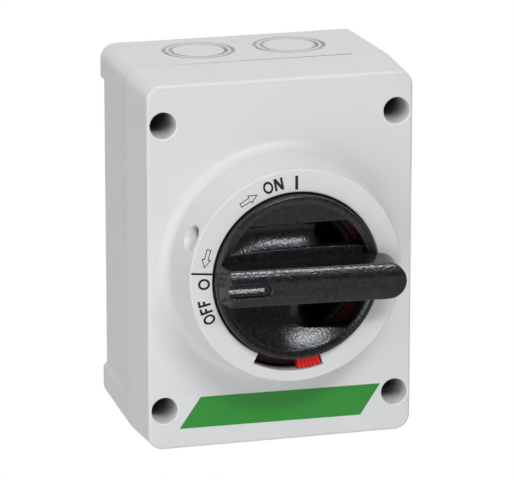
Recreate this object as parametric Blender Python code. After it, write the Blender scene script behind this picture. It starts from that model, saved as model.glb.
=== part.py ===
"""Rotary isolator switch in a moulded wall enclosure, as an assembly of separate pieces.

The enclosure is modelled lying on its back: X to the right, Y up the wall, Z out of the wall, with the
origin at the centre of the flat back. The empty "wall" then stands it up, so that the front faces -Y.
All sizes are in metres.
"""

import math

import bmesh
import bpy
from mathutils import Matrix

# Clearances
SEAT = 0.0003
RUN = 0.0004

# Enclosure, measured at the line where base and cover meet
BOX_WIDTH = 0.1008
BOX_HEIGHT = 0.1372
CORNER_RADIUS = 0.0056
BASE_DEPTH = 0.0428
COVER_DEPTH = 0.0268
BASE_SIDE_DRAFT = 0.0010
BASE_END_DRAFT = 0.0005
COVER_DRAFT = 0.0010
FRONT_EDGE_RADIUS = 0.0011
WALL = 0.0024
BACK_THICKNESS = 0.0030
FRONT_THICKNESS = 0.0025
CAVITY_CORNER = 0.0030
COVER_RIM_HEIGHT = 0.0050

# Recessed wall panels of the base and their knock-outs
SIDE_PANEL_STEP = 0.0025
SIDE_PANEL_LENGTH = 0.1090
END_PANEL_STEP = 0.0007
END_PANEL_LENGTH = 0.0700
PANEL_SHOULDER = 0.0022
KNOCKOUT_LARGE = 0.0255
KNOCKOUT_SMALL = 0.0205
KNOCKOUT_GROOVE_WIDTH = 0.0015
KNOCKOUT_GROOVE_DEPTH = 0.0008
KNOCKOUT_SPACING = 0.0345
KNOCKOUT_FROM_BACK = 0.0199
FIXING_HOLE = 0.0050
FIXING_SPACING_X = 0.0650
FIXING_SPACING_Y = 0.1120

# Cover screws, their wells and pillars
WELL_DIAMETER = 0.0097
WELL_SIDE_WALL = 0.00125
WELL_FROM_END = 0.0147
WELL_FLOOR = 0.0040
PILLAR_DIAMETER = 0.0090
COVER_SCREW_SHANK = 0.0036
COVER_SCREW_HEAD = 0.0072
COVER_SCREW_HEAD_HEIGHT = 0.0030
COVER_SCREW_LENGTH = 0.0180

# Gasket between base and cover
GASKET_INSET = 0.0005
GASKET_WIDTH = 0.0015
GASKET_HEIGHT = 0.0016

# Collar of the cover; heights are above the cover's flat front
COLLAR_HEIGHT = 0.0203
COLLAR_TOP_RADIUS = 0.0392
COLLAR_FLANK_RADIUS = 0.0416
COLLAR_FOOT_FILLET = 0.0040
COLLAR_EDGE = 0.0006
COLLAR_LIP = 0.0025
COLLAR_REAR_RADIUS = 0.0366
SCOOP_RADIUS = 0.0050
SCOOP_DEPTH = 0.0020
SCOOP_HEIGHT = 0.0144
SCOOP_ANGLE = 157.9

# Handle
KNOB_RADIUS = 0.0301
KNOB_GAP = 0.0008
KNOB_RIM_HEIGHT = 0.0234
KNOB_RIM_WIDTH = 0.0031
KNOB_RIM_EDGE = 0.0006
KNOB_DISH = 0.0005
KNOB_UNDERSIDE = 0.0149
BOSS_RADIUS = 0.0218
BOSS_UNDERSIDE = 0.0050
BAR_WIDTH = 0.0128
BAR_SIDE_DRAFT = 0.0006
BAR_LEFT_END = 0.0271
BAR_TIP = 0.0361
BAR_HEIGHT_LEFT = 0.0325
BAR_HEIGHT_RIGHT = 0.0365
LEDGE_HEIGHT = 0.0195
LEDGE_END_WIDTH = 0.0186
LEDGE_BOW = 0.0008
FINGER_GROOVE_REACH = 0.0202
FINGER_GROOVE_FLOOR = 0.0166
BOWL_FLOOR = 0.0165
POINTER_LENGTH = 0.0145
POINTER_WIDTH = 0.0052
POINTER_RIB = 0.0020
POINTER_DEPTH = 0.0012
LOWER_OPENING_LEFT = 0.0007
LOWER_OPENING_ROUND = 0.0080
UPPER_OPENING_LEFT = 0.0052
UPPER_OPENING_ROUND = 0.0050
OPENING_LEVEL = 0.0170
LOCK_PASSAGE_LEFT = 0.0070
LOCK_PASSAGE_ROUND = 0.0040
LOCK_PASSAGE_TOP = 0.0135
RIM_WEB = 0.0036
RIM_SKIRT = 0.0012

# Lock ring
RING_INNER = 0.0247
RING_OUTER = 0.0346
RING_UNDERSIDE = 0.0116
RING_THICKNESS = 0.0026
TAB_INNER = 0.0313
TAB_TOP = 0.0193
TAB_ANGLE = -81.2
TAB_SPAN = 14.5
TAB_TRAVEL = 28.0
TAB_RIDGES = 6
TAB_RIDGE_GAP = 0.0005
WINDOW_MARGIN_ANGLE = 0.75

# Bearing plate behind the collar
PLATE_RADIUS = 0.0425
PLATE_THICKNESS = 0.0027
UPSTAND_RADIUS = 0.0335
BEARING_TUBE = 0.0035
PLATE_SCREW_CIRCLE = 0.0394
PLATE_SCREW_SHANK = 0.0024
PLATE_SCREW_HEAD = 0.0050
PLATE_SCREW_HEAD_HEIGHT = 0.0018
PLATE_SCREW_GRIP = 0.0060

# Handle spindle, its clip, seal and screws
SPINDLE_RADIUS = 0.0092
FLANGE_RADIUS = 0.0150
FLANGE_THICKNESS = 0.0035
CLIP_THICKNESS = 0.0010
CLIP_RADIUS = 0.0120
CLIP_GROOVE_DEPTH = 0.0011
SEAL_SECTION = 0.0016
SPINDLE_TAIL = 0.0017
KNOB_SCREW_X = 0.0076
KNOB_SCREW_Y = 0.0096
KNOB_SCREW_SHANK = 0.0024
KNOB_SCREW_HEAD = 0.0048
KNOB_SCREW_HEAD_HEIGHT = 0.0018
KNOB_SCREW_GRIP = 0.0050

# Switch block on the base's standoffs
STANDOFF_HEIGHT = 0.0050
STANDOFF_DIAMETER = 0.0090
SWITCH_SIDE_ROOM = 0.0300
SWITCH_LENGTH = 0.0660
TRAY_HEIGHT = 0.0157
TRAY_WALL = 0.0020
TRAY_FLOOR = 0.0025
TRAY_RIB = 0.0014
TRAY_RIB_LENGTH = 0.0140
EAR_REACH = 0.0070
EAR_WIDTH = 0.0100
EAR_THICKNESS = 0.0030
WIRE_ENTRY_WIDTH = 0.0070
SWITCH_TOP_LENGTH = 0.0440
SWITCH_TOP_HEIGHT = 0.0085
SWITCH_ROOF = 0.0025
SWITCH_SCREW_SHANK = 0.0036
SWITCH_SCREW_HEAD = 0.0066
SWITCH_SCREW_HEAD_HEIGHT = 0.0024

# Rotor, shaft and moving contacts
CRANK_RADIUS = 0.0060
CRANK_PIN_DIAMETER = 0.0040
HANDLE_SWING = 90.0
ROTOR_RADIUS = 0.0105
ROTOR_THICKNESS = 0.0050
ROTOR_HUB_DIAMETER = 0.0132
ROTOR_HUB_ABOVE = 0.0050
SHAFT_SIDE = 0.0060
SHAFT_SOCKET_DEPTH = 0.0080
SHAFT_REACH = 0.0016
CARRIAGE_THICKNESS = 0.0045
CARRIAGE_WIDTH = 0.0240
CARRIAGE_COMB_WIDTH = 0.0090
CARRIAGE_POST = 0.0016
CARRIAGE_LIP = 0.0012
CRANK_SLOT_DEPTH = 0.0030
CRANK_SLOT_PLAY = 0.0005
GUIDE_RIB = 0.0020

# Poles: terminals, fixed contacts, bridges and their leaf springs
POLE_PITCH = 0.0140
TERMINAL_WIDTH = 0.0080
TERMINAL_THICKNESS = 0.0022
TERMINAL_END = 0.0300
TERMINAL_SCREW_Y = 0.0250
CONTACT_INNER_Y = 0.0095
CONTACT_LENGTH = 0.0040
CONTACT_HEIGHT = 0.0042
CONTACT_THICKNESS = 0.0022
CONTACT_FACE = 0.0034
BRIDGE_THICKNESS = 0.0020
BRIDGE_PAD = 0.0006
SPRING_THICKNESS = 0.0004
SPRING_BOW = 0.0014
SPRING_LENGTH = 0.0160
SPRING_WIDTH = 0.0030
CLAMP_SIDE = 0.0076
CLAMP_THICKNESS = 0.0012
TERMINAL_SCREW_SHANK = 0.0034
TERMINAL_SCREW_HEAD = 0.0062
TERMINAL_SCREW_HEAD_HEIGHT = 0.0026
WIRE_GAP = 0.0024

# Earth terminal on its post
EARTH_LENGTH = 0.0260
EARTH_WIDTH = 0.0080
EARTH_HEIGHT = 0.0075
EARTH_POST_HEIGHT = 0.0070
EARTH_Y = -0.0500
EARTH_SCREW_SPACING = 0.0130
EARTH_SCREW_SHANK = 0.0030
EARTH_SCREW_HEAD = 0.0056
EARTH_SCREW_HEAD_HEIGHT = 0.0022

# Facets of round shapes
FINE = 56
ROUND = 32
SMALL = 14
SCREW = 10
CORNER_STEPS = 5

# Small step that keeps neighbouring cuts from sharing a surface
STEP = 0.0003

# Values that several pieces share
HALF_X = BOX_WIDTH / 2
HALF_Y = BOX_HEIGHT / 2
FRONT = BASE_DEPTH + COVER_DEPTH
CAVITY_X = HALF_X - SIDE_PANEL_STEP - WALL
CAVITY_Y = HALF_Y - END_PANEL_STEP - WALL
BASE_TOP = BASE_DEPTH - SEAT / 2
COVER_BOTTOM = BASE_DEPTH + SEAT / 2
WELL_RADIUS = WELL_DIAMETER / 2
SCREW_X = HALF_X - COVER_DRAFT - WELL_SIDE_WALL - WELL_RADIUS
SCREW_Y = HALF_Y - COVER_DRAFT - WELL_FROM_END
CORNERS = ((1, 1), (-1, 1), (-1, -1), (1, -1))
COLLAR_BORE = KNOB_RADIUS + KNOB_GAP
DISH_LEVEL = KNOB_RIM_HEIGHT - KNOB_DISH
DISH_RADIUS = KNOB_RADIUS - KNOB_RIM_WIDTH
LEDGE_EDGE = LEDGE_END_WIDTH / 2 - 2 * SEAT
PLATE_FRONT = -FRONT_THICKNESS - SEAT
PLATE_BACK = PLATE_FRONT - PLATE_THICKNESS
BEARING_END = PLATE_BACK - BEARING_TUBE
BEARING_RADIUS = SPINDLE_RADIUS + RUN
FLANGE_TOP = BOSS_UNDERSIDE - SEAT
FLANGE_UNDERSIDE = FLANGE_TOP - FLANGE_THICKNESS
SEAL_HEIGHT = (PLATE_FRONT + BEARING_END) / 2
CLIP_TOP = BEARING_END - SEAT
SPINDLE_END = CLIP_TOP - CLIP_THICKNESS - SPINDLE_TAIL
SHAFT_TOP = FRONT + SHAFT_REACH
TRAY_BOTTOM = BACK_THICKNESS + STANDOFF_HEIGHT + SEAT
TRAY_TOP = TRAY_BOTTOM + TRAY_HEIGHT
TERMINAL_BOTTOM = TRAY_BOTTOM + TRAY_FLOOR + SEAT
TERMINAL_TOP = TERMINAL_BOTTOM + TERMINAL_THICKNESS
CONTACT_TOP = TERMINAL_TOP + CONTACT_HEIGHT
PLATE_LOW = CONTACT_TOP + RUN
PLATE_HIGH = PLATE_LOW + CARRIAGE_THICKNESS
SWITCH_TOP_LOW = TRAY_TOP + SEAT
SWITCH_TOP_HIGH = SWITCH_TOP_LOW + SWITCH_TOP_HEIGHT
ROOF_LOW = SWITCH_TOP_HIGH - SWITCH_ROOF
ROTOR_TOP = ROOF_LOW - SEAT
ROTOR_LOW = ROTOR_TOP - ROTOR_THICKNESS
ROTOR_HUB_TOP = SWITCH_TOP_HIGH + ROTOR_HUB_ABOVE
CRANK_X = -CRANK_RADIUS * math.sin(math.radians(HANDLE_SWING / 2))
CRANK_Y = CRANK_RADIUS * math.cos(math.radians(HANDLE_SWING / 2))
CARRIAGE_TRAVEL = -2 * CRANK_X
PAD_FACE = CONTACT_FACE - CARRIAGE_TRAVEL - SEAT
BRIDGE_FACE = PAD_FACE - BRIDGE_PAD
BRIDGE_BACK = BRIDGE_FACE - BRIDGE_THICKNESS
SPRING_BACK = BRIDGE_BACK - SEAT - SPRING_THICKNESS - SPRING_BOW
POST_FACE = SPRING_BACK - SEAT
CONTACT_BACK = CONTACT_FACE + CONTACT_THICKNESS
SWITCH_WIDTH = 2 * POLE_PITCH + SWITCH_SIDE_ROOM
EAR_SCREW_X = SWITCH_WIDTH / 2 + EAR_REACH / 2
POLES = (-POLE_PITCH, 0.0, POLE_PITCH)


# Shapes, each a bmesh
def loft(rings):
    """A closed solid through rings of as many points each, capped at both ends."""
    bm = bmesh.new()
    loops = [[bm.verts.new(point) for point in ring] for ring in rings]
    for low, high in zip(loops, loops[1:]):
        for i, vert in enumerate(low):
            bm.faces.new((low[i - 1], vert, high[i], high[i - 1]))
    bm.faces.new(loops[0])
    bm.faces.new(loops[-1])
    bmesh.ops.recalc_face_normals(bm, faces=bm.faces)
    return bm


def prism(outline, low, high):
    return loft([[(x, y, z) for x, y in outline] for z in (low, high)])


def box(x_low, x_high, y_low, y_high, z_low, z_high):
    outline = ((x_low, y_low), (x_high, y_low), (x_high, y_high), (x_low, y_high))
    return prism(outline, z_low, z_high)


def turned(profile, segments=ROUND):
    """Turns a closed (radius, height) profile about Z. Points with no radius lie on the axis."""
    bm = bmesh.new()
    verts = [bm.verts.new((radius, 0, height)) for radius, height in profile]
    on_axis = [radius == 0 for radius, height in profile]
    edges = []
    for i in range(len(verts)):
        if not (on_axis[i - 1] and on_axis[i]):
            edges.append(bm.edges.new((verts[i - 1], verts[i])))
    bmesh.ops.spin(bm, geom=verts + edges, cent=(0, 0, 0), axis=(0, 0, 1), angle=math.tau,
                   steps=segments, use_merge=True)
    bmesh.ops.remove_doubles(bm, verts=bm.verts, dist=1e-7)
    bmesh.ops.recalc_face_normals(bm, faces=bm.faces)
    return bm


def cylinder(radius, low, high, x=0.0, y=0.0, segments=SMALL):
    outline = arc_points(x, y, radius, 0, 360, segments)[:-1]
    return prism(outline, low, high)


def ring_band(outer, inner, low, high):
    """The wall between two outlines of as many points each."""
    bm = bmesh.new()
    corners = ((outer, low), (outer, high), (inner, high), (inner, low))
    loops = [[bm.verts.new((x, y, z)) for x, y in outline] for outline, z in corners]
    for low_loop, high_loop in zip(loops, loops[1:] + loops[:1]):
        for i, vert in enumerate(low_loop):
            bm.faces.new((low_loop[i - 1], vert, high_loop[i], high_loop[i - 1]))
    bmesh.ops.recalc_face_normals(bm, faces=bm.faces)
    return bm


def gathered(shapes):
    """Several shapes as one bmesh of separate bodies."""
    whole = bmesh.new()
    for shape in shapes:
        mesh = bpy.data.meshes.new("gathered")
        shape.to_mesh(mesh)
        shape.free()
        whole.from_mesh(mesh)
        bpy.data.meshes.remove(mesh)
    return whole


def moved(bm, x=0.0, y=0.0, z=0.0):
    bmesh.ops.translate(bm, verts=bm.verts, vec=(x, y, z))
    return bm


def spun(bm, degrees, axis="Z"):
    rotation = Matrix.Rotation(math.radians(degrees), 3, axis)
    bmesh.ops.rotate(bm, verts=bm.verts, cent=(0, 0, 0), matrix=rotation)
    return bm


# Outlines, each a list of (x, y) points
def arc_points(x, y, radius, start, end, steps):
    points = []
    for i in range(steps + 1):
        angle = math.radians(start + (end - start) * i / steps)
        points.append((x + radius * math.cos(angle), y + radius * math.sin(angle)))
    return points


def rounded_rectangle(half_x, half_y, radius):
    points = []
    for (side_x, side_y), start in zip(CORNERS, (0, 90, 180, 270)):
        points += arc_points(side_x * (half_x - radius), side_y * (half_y - radius), radius,
                             start, start + 90, CORNER_STEPS)
    return points


def sector(inner, outer, start, end, steps=SMALL):
    return arc_points(0, 0, outer, start, end, steps) + arc_points(0, 0, inner, end, start, steps)


def square(side):
    half = side / 2
    return [(half, half), (-half, half), (-half, -half), (half, -half)]


# Objects
def material(name, colour, roughness, metallic=0.0):
    made = bpy.data.materials.new(name)
    made.use_nodes = True
    shader = made.node_tree.nodes["Principled BSDF"]
    shader.inputs["Base Color"].default_value = (*colour, 1.0)
    shader.inputs["Roughness"].default_value = roughness
    shader.inputs["Metallic"].default_value = metallic
    return made


def add_object(name, bm, parent):
    mesh = bpy.data.meshes.new(name)
    bm.to_mesh(mesh)
    bm.free()
    mesh.shade_smooth()
    mesh.set_sharp_from_angle(angle=math.radians(35))
    made = bpy.data.objects.new(name, mesh)
    bpy.context.scene.collection.objects.link(made)
    made.parent = parent
    return made


def piece(name, bm, finish, parent):
    made = add_object(name, bm, parent)
    made.data.materials.append(finish)
    return made


def combine(target, operation, name, bm):
    """Cuts a helper shape from a piece, joins it on or keeps what they share."""
    helper = add_object(name, bm, target.parent)
    helper.hide_render = True
    helper.display_type = "WIRE"
    step = target.modifiers.new(name, "BOOLEAN")
    step.operation = operation
    step.solver = "EXACT"
    step.object = helper
    return helper


def cut(target, name, bm):
    return combine(target, "DIFFERENCE", name, bm)


def join(target, name, bm):
    return combine(target, "UNION", name, bm)


def screw(head_diameter, head_height, shank_diameter, shank_length):
    """A pan-head screw with its head on top of Z = 0."""
    head = head_diameter / 2
    shank = shank_diameter / 2
    crown = head_height * 0.35
    profile = [(0, -shank_length), (shank, -shank_length), (shank, 0), (head, 0),
               (head, head_height - crown), (head - crown, head_height), (0, head_height)]
    return turned(profile, SCREW)


for old in list(bpy.data.objects):
    bpy.data.objects.remove(old)

GREY = material("light_grey_plastic", (0.66, 0.67, 0.67), 0.45)
BLACK = material("black_plastic", (0.018, 0.018, 0.020), 0.42)
RED = material("red_plastic", (0.72, 0.025, 0.02), 0.40)
RUBBER = material("black_rubber", (0.02, 0.02, 0.02), 0.80)
STEEL = material("zinc_plated_steel", (0.62, 0.62, 0.60), 0.30, 1.0)
BRASS = material("brass", (0.72, 0.50, 0.20), 0.30, 1.0)
COPPER = material("silvered_copper", (0.78, 0.66, 0.58), 0.28, 1.0)
SWITCH_PLASTIC = material("dark_switch_plastic", (0.06, 0.06, 0.065), 0.50)
CARRIAGE_PLASTIC = material("ivory_plastic", (0.70, 0.66, 0.55), 0.45)

wall = bpy.data.objects.new("wall", None)
wall.rotation_euler = (math.pi / 2, 0, 0)
bpy.context.scene.collection.objects.link(wall)


def axis_empty(name, height):
    """An empty on the handle's axis, at a height above the wall."""
    made = bpy.data.objects.new(name, None)
    made.parent = wall
    made.location = (0, 0, height)
    bpy.context.scene.collection.objects.link(made)
    return made


front_axis = axis_empty("front_axis", FRONT)


# Base
def box_outline(side_inset, end_inset, corner_inset=0.0):
    return rounded_rectangle(HALF_X - side_inset, HALF_Y - end_inset, CORNER_RADIUS - corner_inset)


def panel_cutter(half_length, depth_at, reach, turn):
    """Takes the wall back to a flat panel with sloped shoulders; turn says which wall."""
    outline = ((depth_at, half_length), (depth_at, -half_length),
               (reach, -half_length - PANEL_SHOULDER), (reach, half_length + PANEL_SHOULDER))
    return spun(prism(outline, -WALL, BASE_DEPTH + WALL), turn)


def knockout_rings():
    rings = []
    face = HALF_Y - END_PANEL_STEP
    for diameter in (KNOCKOUT_LARGE, KNOCKOUT_SMALL):
        for side_x in (-1, 1):
            for side_y in (-1, 1):
                radius = diameter / 2
                half = KNOCKOUT_GROOVE_WIDTH / 2
                depth = KNOCKOUT_GROOVE_DEPTH
                profile = [(radius + half, depth), (radius + half, -depth),
                           (radius - half, -depth), (radius - half, depth)]
                ring = spun(turned(profile, 24), 90, "X")
                rings.append(moved(ring, side_x * KNOCKOUT_SPACING / 2, side_y * face, KNOCKOUT_FROM_BACK))
    return gathered(rings)


def make_base():
    back = [(x, y, 0.0) for x, y in box_outline(BASE_SIDE_DRAFT, BASE_END_DRAFT)]
    rim = [(x, y, BASE_TOP) for x, y in box_outline(0.0, 0.0)]
    base = piece("base_box", loft([back, rim]), GREY, wall)
    side = HALF_X - SIDE_PANEL_STEP
    end = HALF_Y - END_PANEL_STEP
    panels = [panel_cutter(SIDE_PANEL_LENGTH / 2, side, HALF_X + WALL, turn) for turn in (0, 180)]
    panels += [panel_cutter(END_PANEL_LENGTH / 2, end, HALF_Y + WALL, turn) for turn in (90, 270)]
    cut(base, "base_panels", gathered(panels))
    cavity = prism(rounded_rectangle(CAVITY_X, CAVITY_Y, CAVITY_CORNER), BACK_THICKNESS, BASE_DEPTH + WALL)
    cut(base, "base_cavity", cavity)
    posts = []
    for side_x, side_y in CORNERS:
        posts.append(cylinder(PILLAR_DIAMETER / 2, BACK_THICKNESS / 2, BASE_TOP - SEAT / 2,
                              side_x * SCREW_X, side_y * SCREW_Y))
    for side_x in (-1, 1):
        posts.append(cylinder(STANDOFF_DIAMETER / 2, BACK_THICKNESS / 2, BACK_THICKNESS + STANDOFF_HEIGHT,
                              side_x * EAR_SCREW_X, 0))
    posts.append(box(-EARTH_LENGTH / 2, EARTH_LENGTH / 2, EARTH_Y - EARTH_WIDTH / 2,
                     EARTH_Y + EARTH_WIDTH / 2,
                     BACK_THICKNESS / 2, BACK_THICKNESS + EARTH_POST_HEIGHT))
    join(base, "base_posts", gathered(posts))
    holes = []
    pilot = COVER_SCREW_SHANK / 2 + SEAT
    pilot_floor = COVER_BOTTOM + WELL_FLOOR - COVER_SCREW_LENGTH - SEAT
    for side_x, side_y in CORNERS:
        holes.append(cylinder(pilot, pilot_floor, BASE_DEPTH + WALL, side_x * SCREW_X, side_y * SCREW_Y))
        holes.append(cylinder(FIXING_HOLE / 2, -WALL, BACK_THICKNESS + WALL,
                              side_x * FIXING_SPACING_X / 2, side_y * FIXING_SPACING_Y / 2))
    for side_x in (-1, 1):
        holes.append(cylinder(SWITCH_SCREW_SHANK / 2 + SEAT, BACK_THICKNESS / 2, TRAY_BOTTOM + WALL,
                              side_x * EAR_SCREW_X, 0))
        holes.append(cylinder(EARTH_SCREW_SHANK / 2 + SEAT, BACK_THICKNESS,
                              BACK_THICKNESS + EARTH_POST_HEIGHT + WALL,
                              side_x * EARTH_SCREW_SPACING / 2, EARTH_Y))
    cut(base, "base_holes", gathered(holes))
    cut(base, "base_knockouts", knockout_rings())


# Cover
def make_cover():
    rings = [[(x, y, COVER_BOTTOM) for x, y in box_outline(0.0, 0.0)]]
    shoulder = FRONT - FRONT_EDGE_RADIUS
    steps = 4
    for i in range(steps + 1):
        angle = math.radians(90 * i / steps)
        inset = COVER_DRAFT + FRONT_EDGE_RADIUS * (1 - math.cos(angle))
        height = shoulder + FRONT_EDGE_RADIUS * math.sin(angle)
        rings.append([(x, y, height) for x, y in box_outline(inset, inset, inset - COVER_DRAFT)])
    cover = piece("cover", loft(rings), GREY, wall)
    rim_top = BASE_DEPTH + COVER_RIM_HEIGHT
    inner_x = HALF_X - COVER_DRAFT - WALL
    inner_y = HALF_Y - COVER_DRAFT - WALL
    rim = prism(rounded_rectangle(CAVITY_X, CAVITY_Y, CAVITY_CORNER), BASE_DEPTH - WALL, rim_top + SEAT)
    cut(cover, "cover_rim_cavity", rim)
    room = prism(rounded_rectangle(inner_x, inner_y, CAVITY_CORNER), rim_top, FRONT - FRONT_THICKNESS)
    cut(cover, "cover_cavity", room)
    towers = []
    tower_radius = WELL_RADIUS + WELL_SIDE_WALL - SEAT
    for side_x, side_y in CORNERS:
        towers.append(cylinder(tower_radius, COVER_BOTTOM + SEAT / 2, FRONT - FRONT_THICKNESS / 2,
                               side_x * SCREW_X, side_y * SCREW_Y, 20))
    join(cover, "cover_towers", gathered(towers))
    join(cover, "cover_collar", collar_solid())
    cut(cover, "cover_collar_room", moved(cylinder(COLLAR_REAR_RADIUS, -2 * FRONT_THICKNESS,
                                                   COLLAR_HEIGHT - COLLAR_LIP, segments=FINE), z=FRONT))
    mouth = gathered([cylinder(COLLAR_BORE, COLLAR_HEIGHT - 2 * COLLAR_LIP, COLLAR_HEIGHT + COLLAR_LIP,
                               segments=FINE)])
    cut(cover, "cover_collar_mouth", moved(mouth, z=FRONT))
    cut(cover, "cover_window", moved(window_shape(), z=FRONT))
    cut(cover, "cover_scoop", moved(scoop_ball(), z=FRONT))
    holes = []
    for side_x, side_y in CORNERS:
        x = side_x * SCREW_X
        y = side_y * SCREW_Y
        holes.append(cylinder(WELL_RADIUS, COVER_BOTTOM + WELL_FLOOR, FRONT + WALL, x, y, 28))
    cut(cover, "cover_wells", gathered(holes))
    holes = []
    for side_x, side_y in CORNERS:
        holes.append(cylinder(COVER_SCREW_SHANK / 2 + SEAT, BASE_DEPTH - WALL, COVER_BOTTOM + 2 * WELL_FLOOR,
                              side_x * SCREW_X, side_y * SCREW_Y))
        x, y = arc_points(0, 0, PLATE_SCREW_CIRCLE, math.degrees(math.atan2(side_y, side_x)), 0, 1)[0]
        holes.append(cylinder(PLATE_SCREW_SHANK / 2 + SEAT, FRONT + 2 * PLATE_FRONT,
                              FRONT + PLATE_FRONT + PLATE_SCREW_GRIP + SEAT, x, y, SCREW))
    cut(cover, "cover_screw_holes", gathered(holes))
    groove_top = BASE_TOP + GASKET_HEIGHT + 2 * SEAT
    groove = ring_band(gasket_outline(GASKET_WIDTH + SEAT), gasket_outline(-SEAT), BASE_DEPTH - WALL,
                       groove_top)
    cut(cover, "cover_gasket_groove", groove)


def collar_solid():
    """The conical collar with its hollow foot fillet, solid; the cover's cuts open it."""
    fillet = arc_points(COLLAR_FLANK_RADIUS + COLLAR_FOOT_FILLET, COLLAR_FOOT_FILLET, COLLAR_FOOT_FILLET,
                        270, 180, 6)
    profile = [(0, -FRONT_THICKNESS / 2), (COLLAR_FLANK_RADIUS + COLLAR_FOOT_FILLET, -FRONT_THICKNESS / 2)]
    profile += fillet
    profile += [(COLLAR_TOP_RADIUS, COLLAR_HEIGHT - COLLAR_EDGE),
                (COLLAR_TOP_RADIUS - COLLAR_EDGE * 0.3, COLLAR_HEIGHT - COLLAR_EDGE * 0.3),
                (COLLAR_TOP_RADIUS - COLLAR_EDGE, COLLAR_HEIGHT), (0, COLLAR_HEIGHT)]
    return moved(turned(profile, FINE), z=FRONT)


def scoop_ball():
    """A ball that takes a shallow round dimple out of the collar's flank."""
    ball = (SCOOP_RADIUS ** 2 + SCOOP_DEPTH ** 2) / (2 * SCOOP_DEPTH)
    share = (SCOOP_HEIGHT - COLLAR_FOOT_FILLET) / (COLLAR_HEIGHT - COLLAR_FOOT_FILLET)
    flank = COLLAR_FLANK_RADIUS + (COLLAR_TOP_RADIUS - COLLAR_FLANK_RADIUS) * share
    profile = [(0, -ball)] + arc_points(0, 0, ball, -75, 75, 10) + [(0, ball)]
    return spun(moved(turned(profile, 20), flank - SCOOP_DEPTH + ball, 0, SCOOP_HEIGHT), SCOOP_ANGLE)


def window_shape():
    end = TAB_ANGLE + TAB_SPAN / 2 + WINDOW_MARGIN_ANGLE
    start = TAB_ANGLE - TAB_SPAN / 2 - TAB_TRAVEL - WINDOW_MARGIN_ANGLE
    outline = sector(COLLAR_BORE - KNOB_GAP, RING_OUTER + KNOB_GAP / 2, start, end)
    return prism(outline, COLLAR_HEIGHT - 2 * COLLAR_LIP, COLLAR_HEIGHT + COLLAR_LIP)


def gasket_outline(grow):
    offset = GASKET_INSET + grow
    return rounded_rectangle(CAVITY_X + offset, CAVITY_Y + offset, CAVITY_CORNER + offset)


def make_gasket():
    low = BASE_TOP + SEAT
    gasket = ring_band(gasket_outline(GASKET_WIDTH), gasket_outline(0.0), low, low + GASKET_HEIGHT)
    piece("cover_gasket", gasket, RUBBER, wall)


def make_cover_screws():
    for i, (side_x, side_y) in enumerate(CORNERS):
        body = screw(COVER_SCREW_HEAD, COVER_SCREW_HEAD_HEIGHT, COVER_SCREW_SHANK, COVER_SCREW_LENGTH)
        seat = COVER_BOTTOM + WELL_FLOOR + SEAT
        piece(f"cover_screw_{i + 1}", moved(body, side_x * SCREW_X, side_y * SCREW_Y, seat), STEEL, wall)


# Bearing plate
def make_bearing_plate():
    ring_seat = RING_UNDERSIDE - SEAT
    spigot = RING_INNER - RUN
    well = BOSS_RADIUS + KNOB_GAP
    hollow = UPSTAND_RADIUS - WALL
    tube = BEARING_RADIUS + WALL
    profile = [(BEARING_RADIUS, BEARING_END), (tube, BEARING_END), (tube, PLATE_BACK), (spigot, PLATE_BACK),
               (spigot, ring_seat - WALL), (hollow, ring_seat - WALL), (hollow, PLATE_BACK),
               (PLATE_RADIUS, PLATE_BACK), (PLATE_RADIUS, PLATE_FRONT), (UPSTAND_RADIUS, PLATE_FRONT),
               (UPSTAND_RADIUS, ring_seat), (spigot, ring_seat), (spigot, ring_seat + RING_THICKNESS),
               (well, ring_seat + RING_THICKNESS), (well, PLATE_FRONT), (BEARING_RADIUS, PLATE_FRONT)]
    plate = piece("bearing_plate", turned(profile, 40), BLACK, front_axis)
    holes = []
    for i in range(4):
        hole = cylinder(PLATE_SCREW_SHANK / 2 + SEAT, PLATE_BACK - WALL, PLATE_FRONT + WALL,
                        PLATE_SCREW_CIRCLE, 0, SCREW)
        holes.append(spun(hole, 45 + 90 * i))
    cut(plate, "bearing_plate_holes", gathered(holes))
    for i in range(4):
        body = screw(PLATE_SCREW_HEAD, PLATE_SCREW_HEAD_HEIGHT, PLATE_SCREW_SHANK,
                     PLATE_SCREW_GRIP + PLATE_THICKNESS)
        body = moved(spun(body, 180, "X"), PLATE_SCREW_CIRCLE, 0, PLATE_BACK - SEAT)
        piece(f"plate_screw_{i + 1}", spun(body, 45 + 90 * i), STEEL, front_axis)


# Lock ring
def make_lock_ring():
    top = RING_UNDERSIDE + RING_THICKNESS
    profile = [(RING_INNER, RING_UNDERSIDE), (RING_OUTER, RING_UNDERSIDE), (RING_OUTER, top),
               (RING_INNER, top)]
    ring = piece("lock_ring", turned(profile, FINE), RED, front_axis)
    start = TAB_ANGLE - TAB_SPAN / 2
    end = TAB_ANGLE + TAB_SPAN / 2
    tab = prism(sector(TAB_INNER, RING_OUTER - SEAT, start, end, 6), RING_UNDERSIDE + RING_THICKNESS / 2,
                TAB_TOP)
    join(ring, "lock_ring_tab", tab)
    gaps = []
    for i in range(1, TAB_RIDGES):
        gap = box(TAB_INNER - WALL, RING_OUTER + WALL, -TAB_RIDGE_GAP / 2, TAB_RIDGE_GAP / 2,
                  TAB_TOP - TAB_RIDGE_GAP, TAB_TOP + TAB_RIDGE_GAP)
        gaps.append(spun(gap, start + TAB_SPAN * i / TAB_RIDGES))
    cut(ring, "lock_ring_ridges", gathered(gaps))


# Handle
def bar_front(x):
    """Height of the bar's sloping front face."""
    share = (x + BAR_LEFT_END) / (BAR_TIP + BAR_LEFT_END)
    return BAR_HEIGHT_LEFT + (BAR_HEIGHT_RIGHT - BAR_HEIGHT_LEFT) * share


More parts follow.
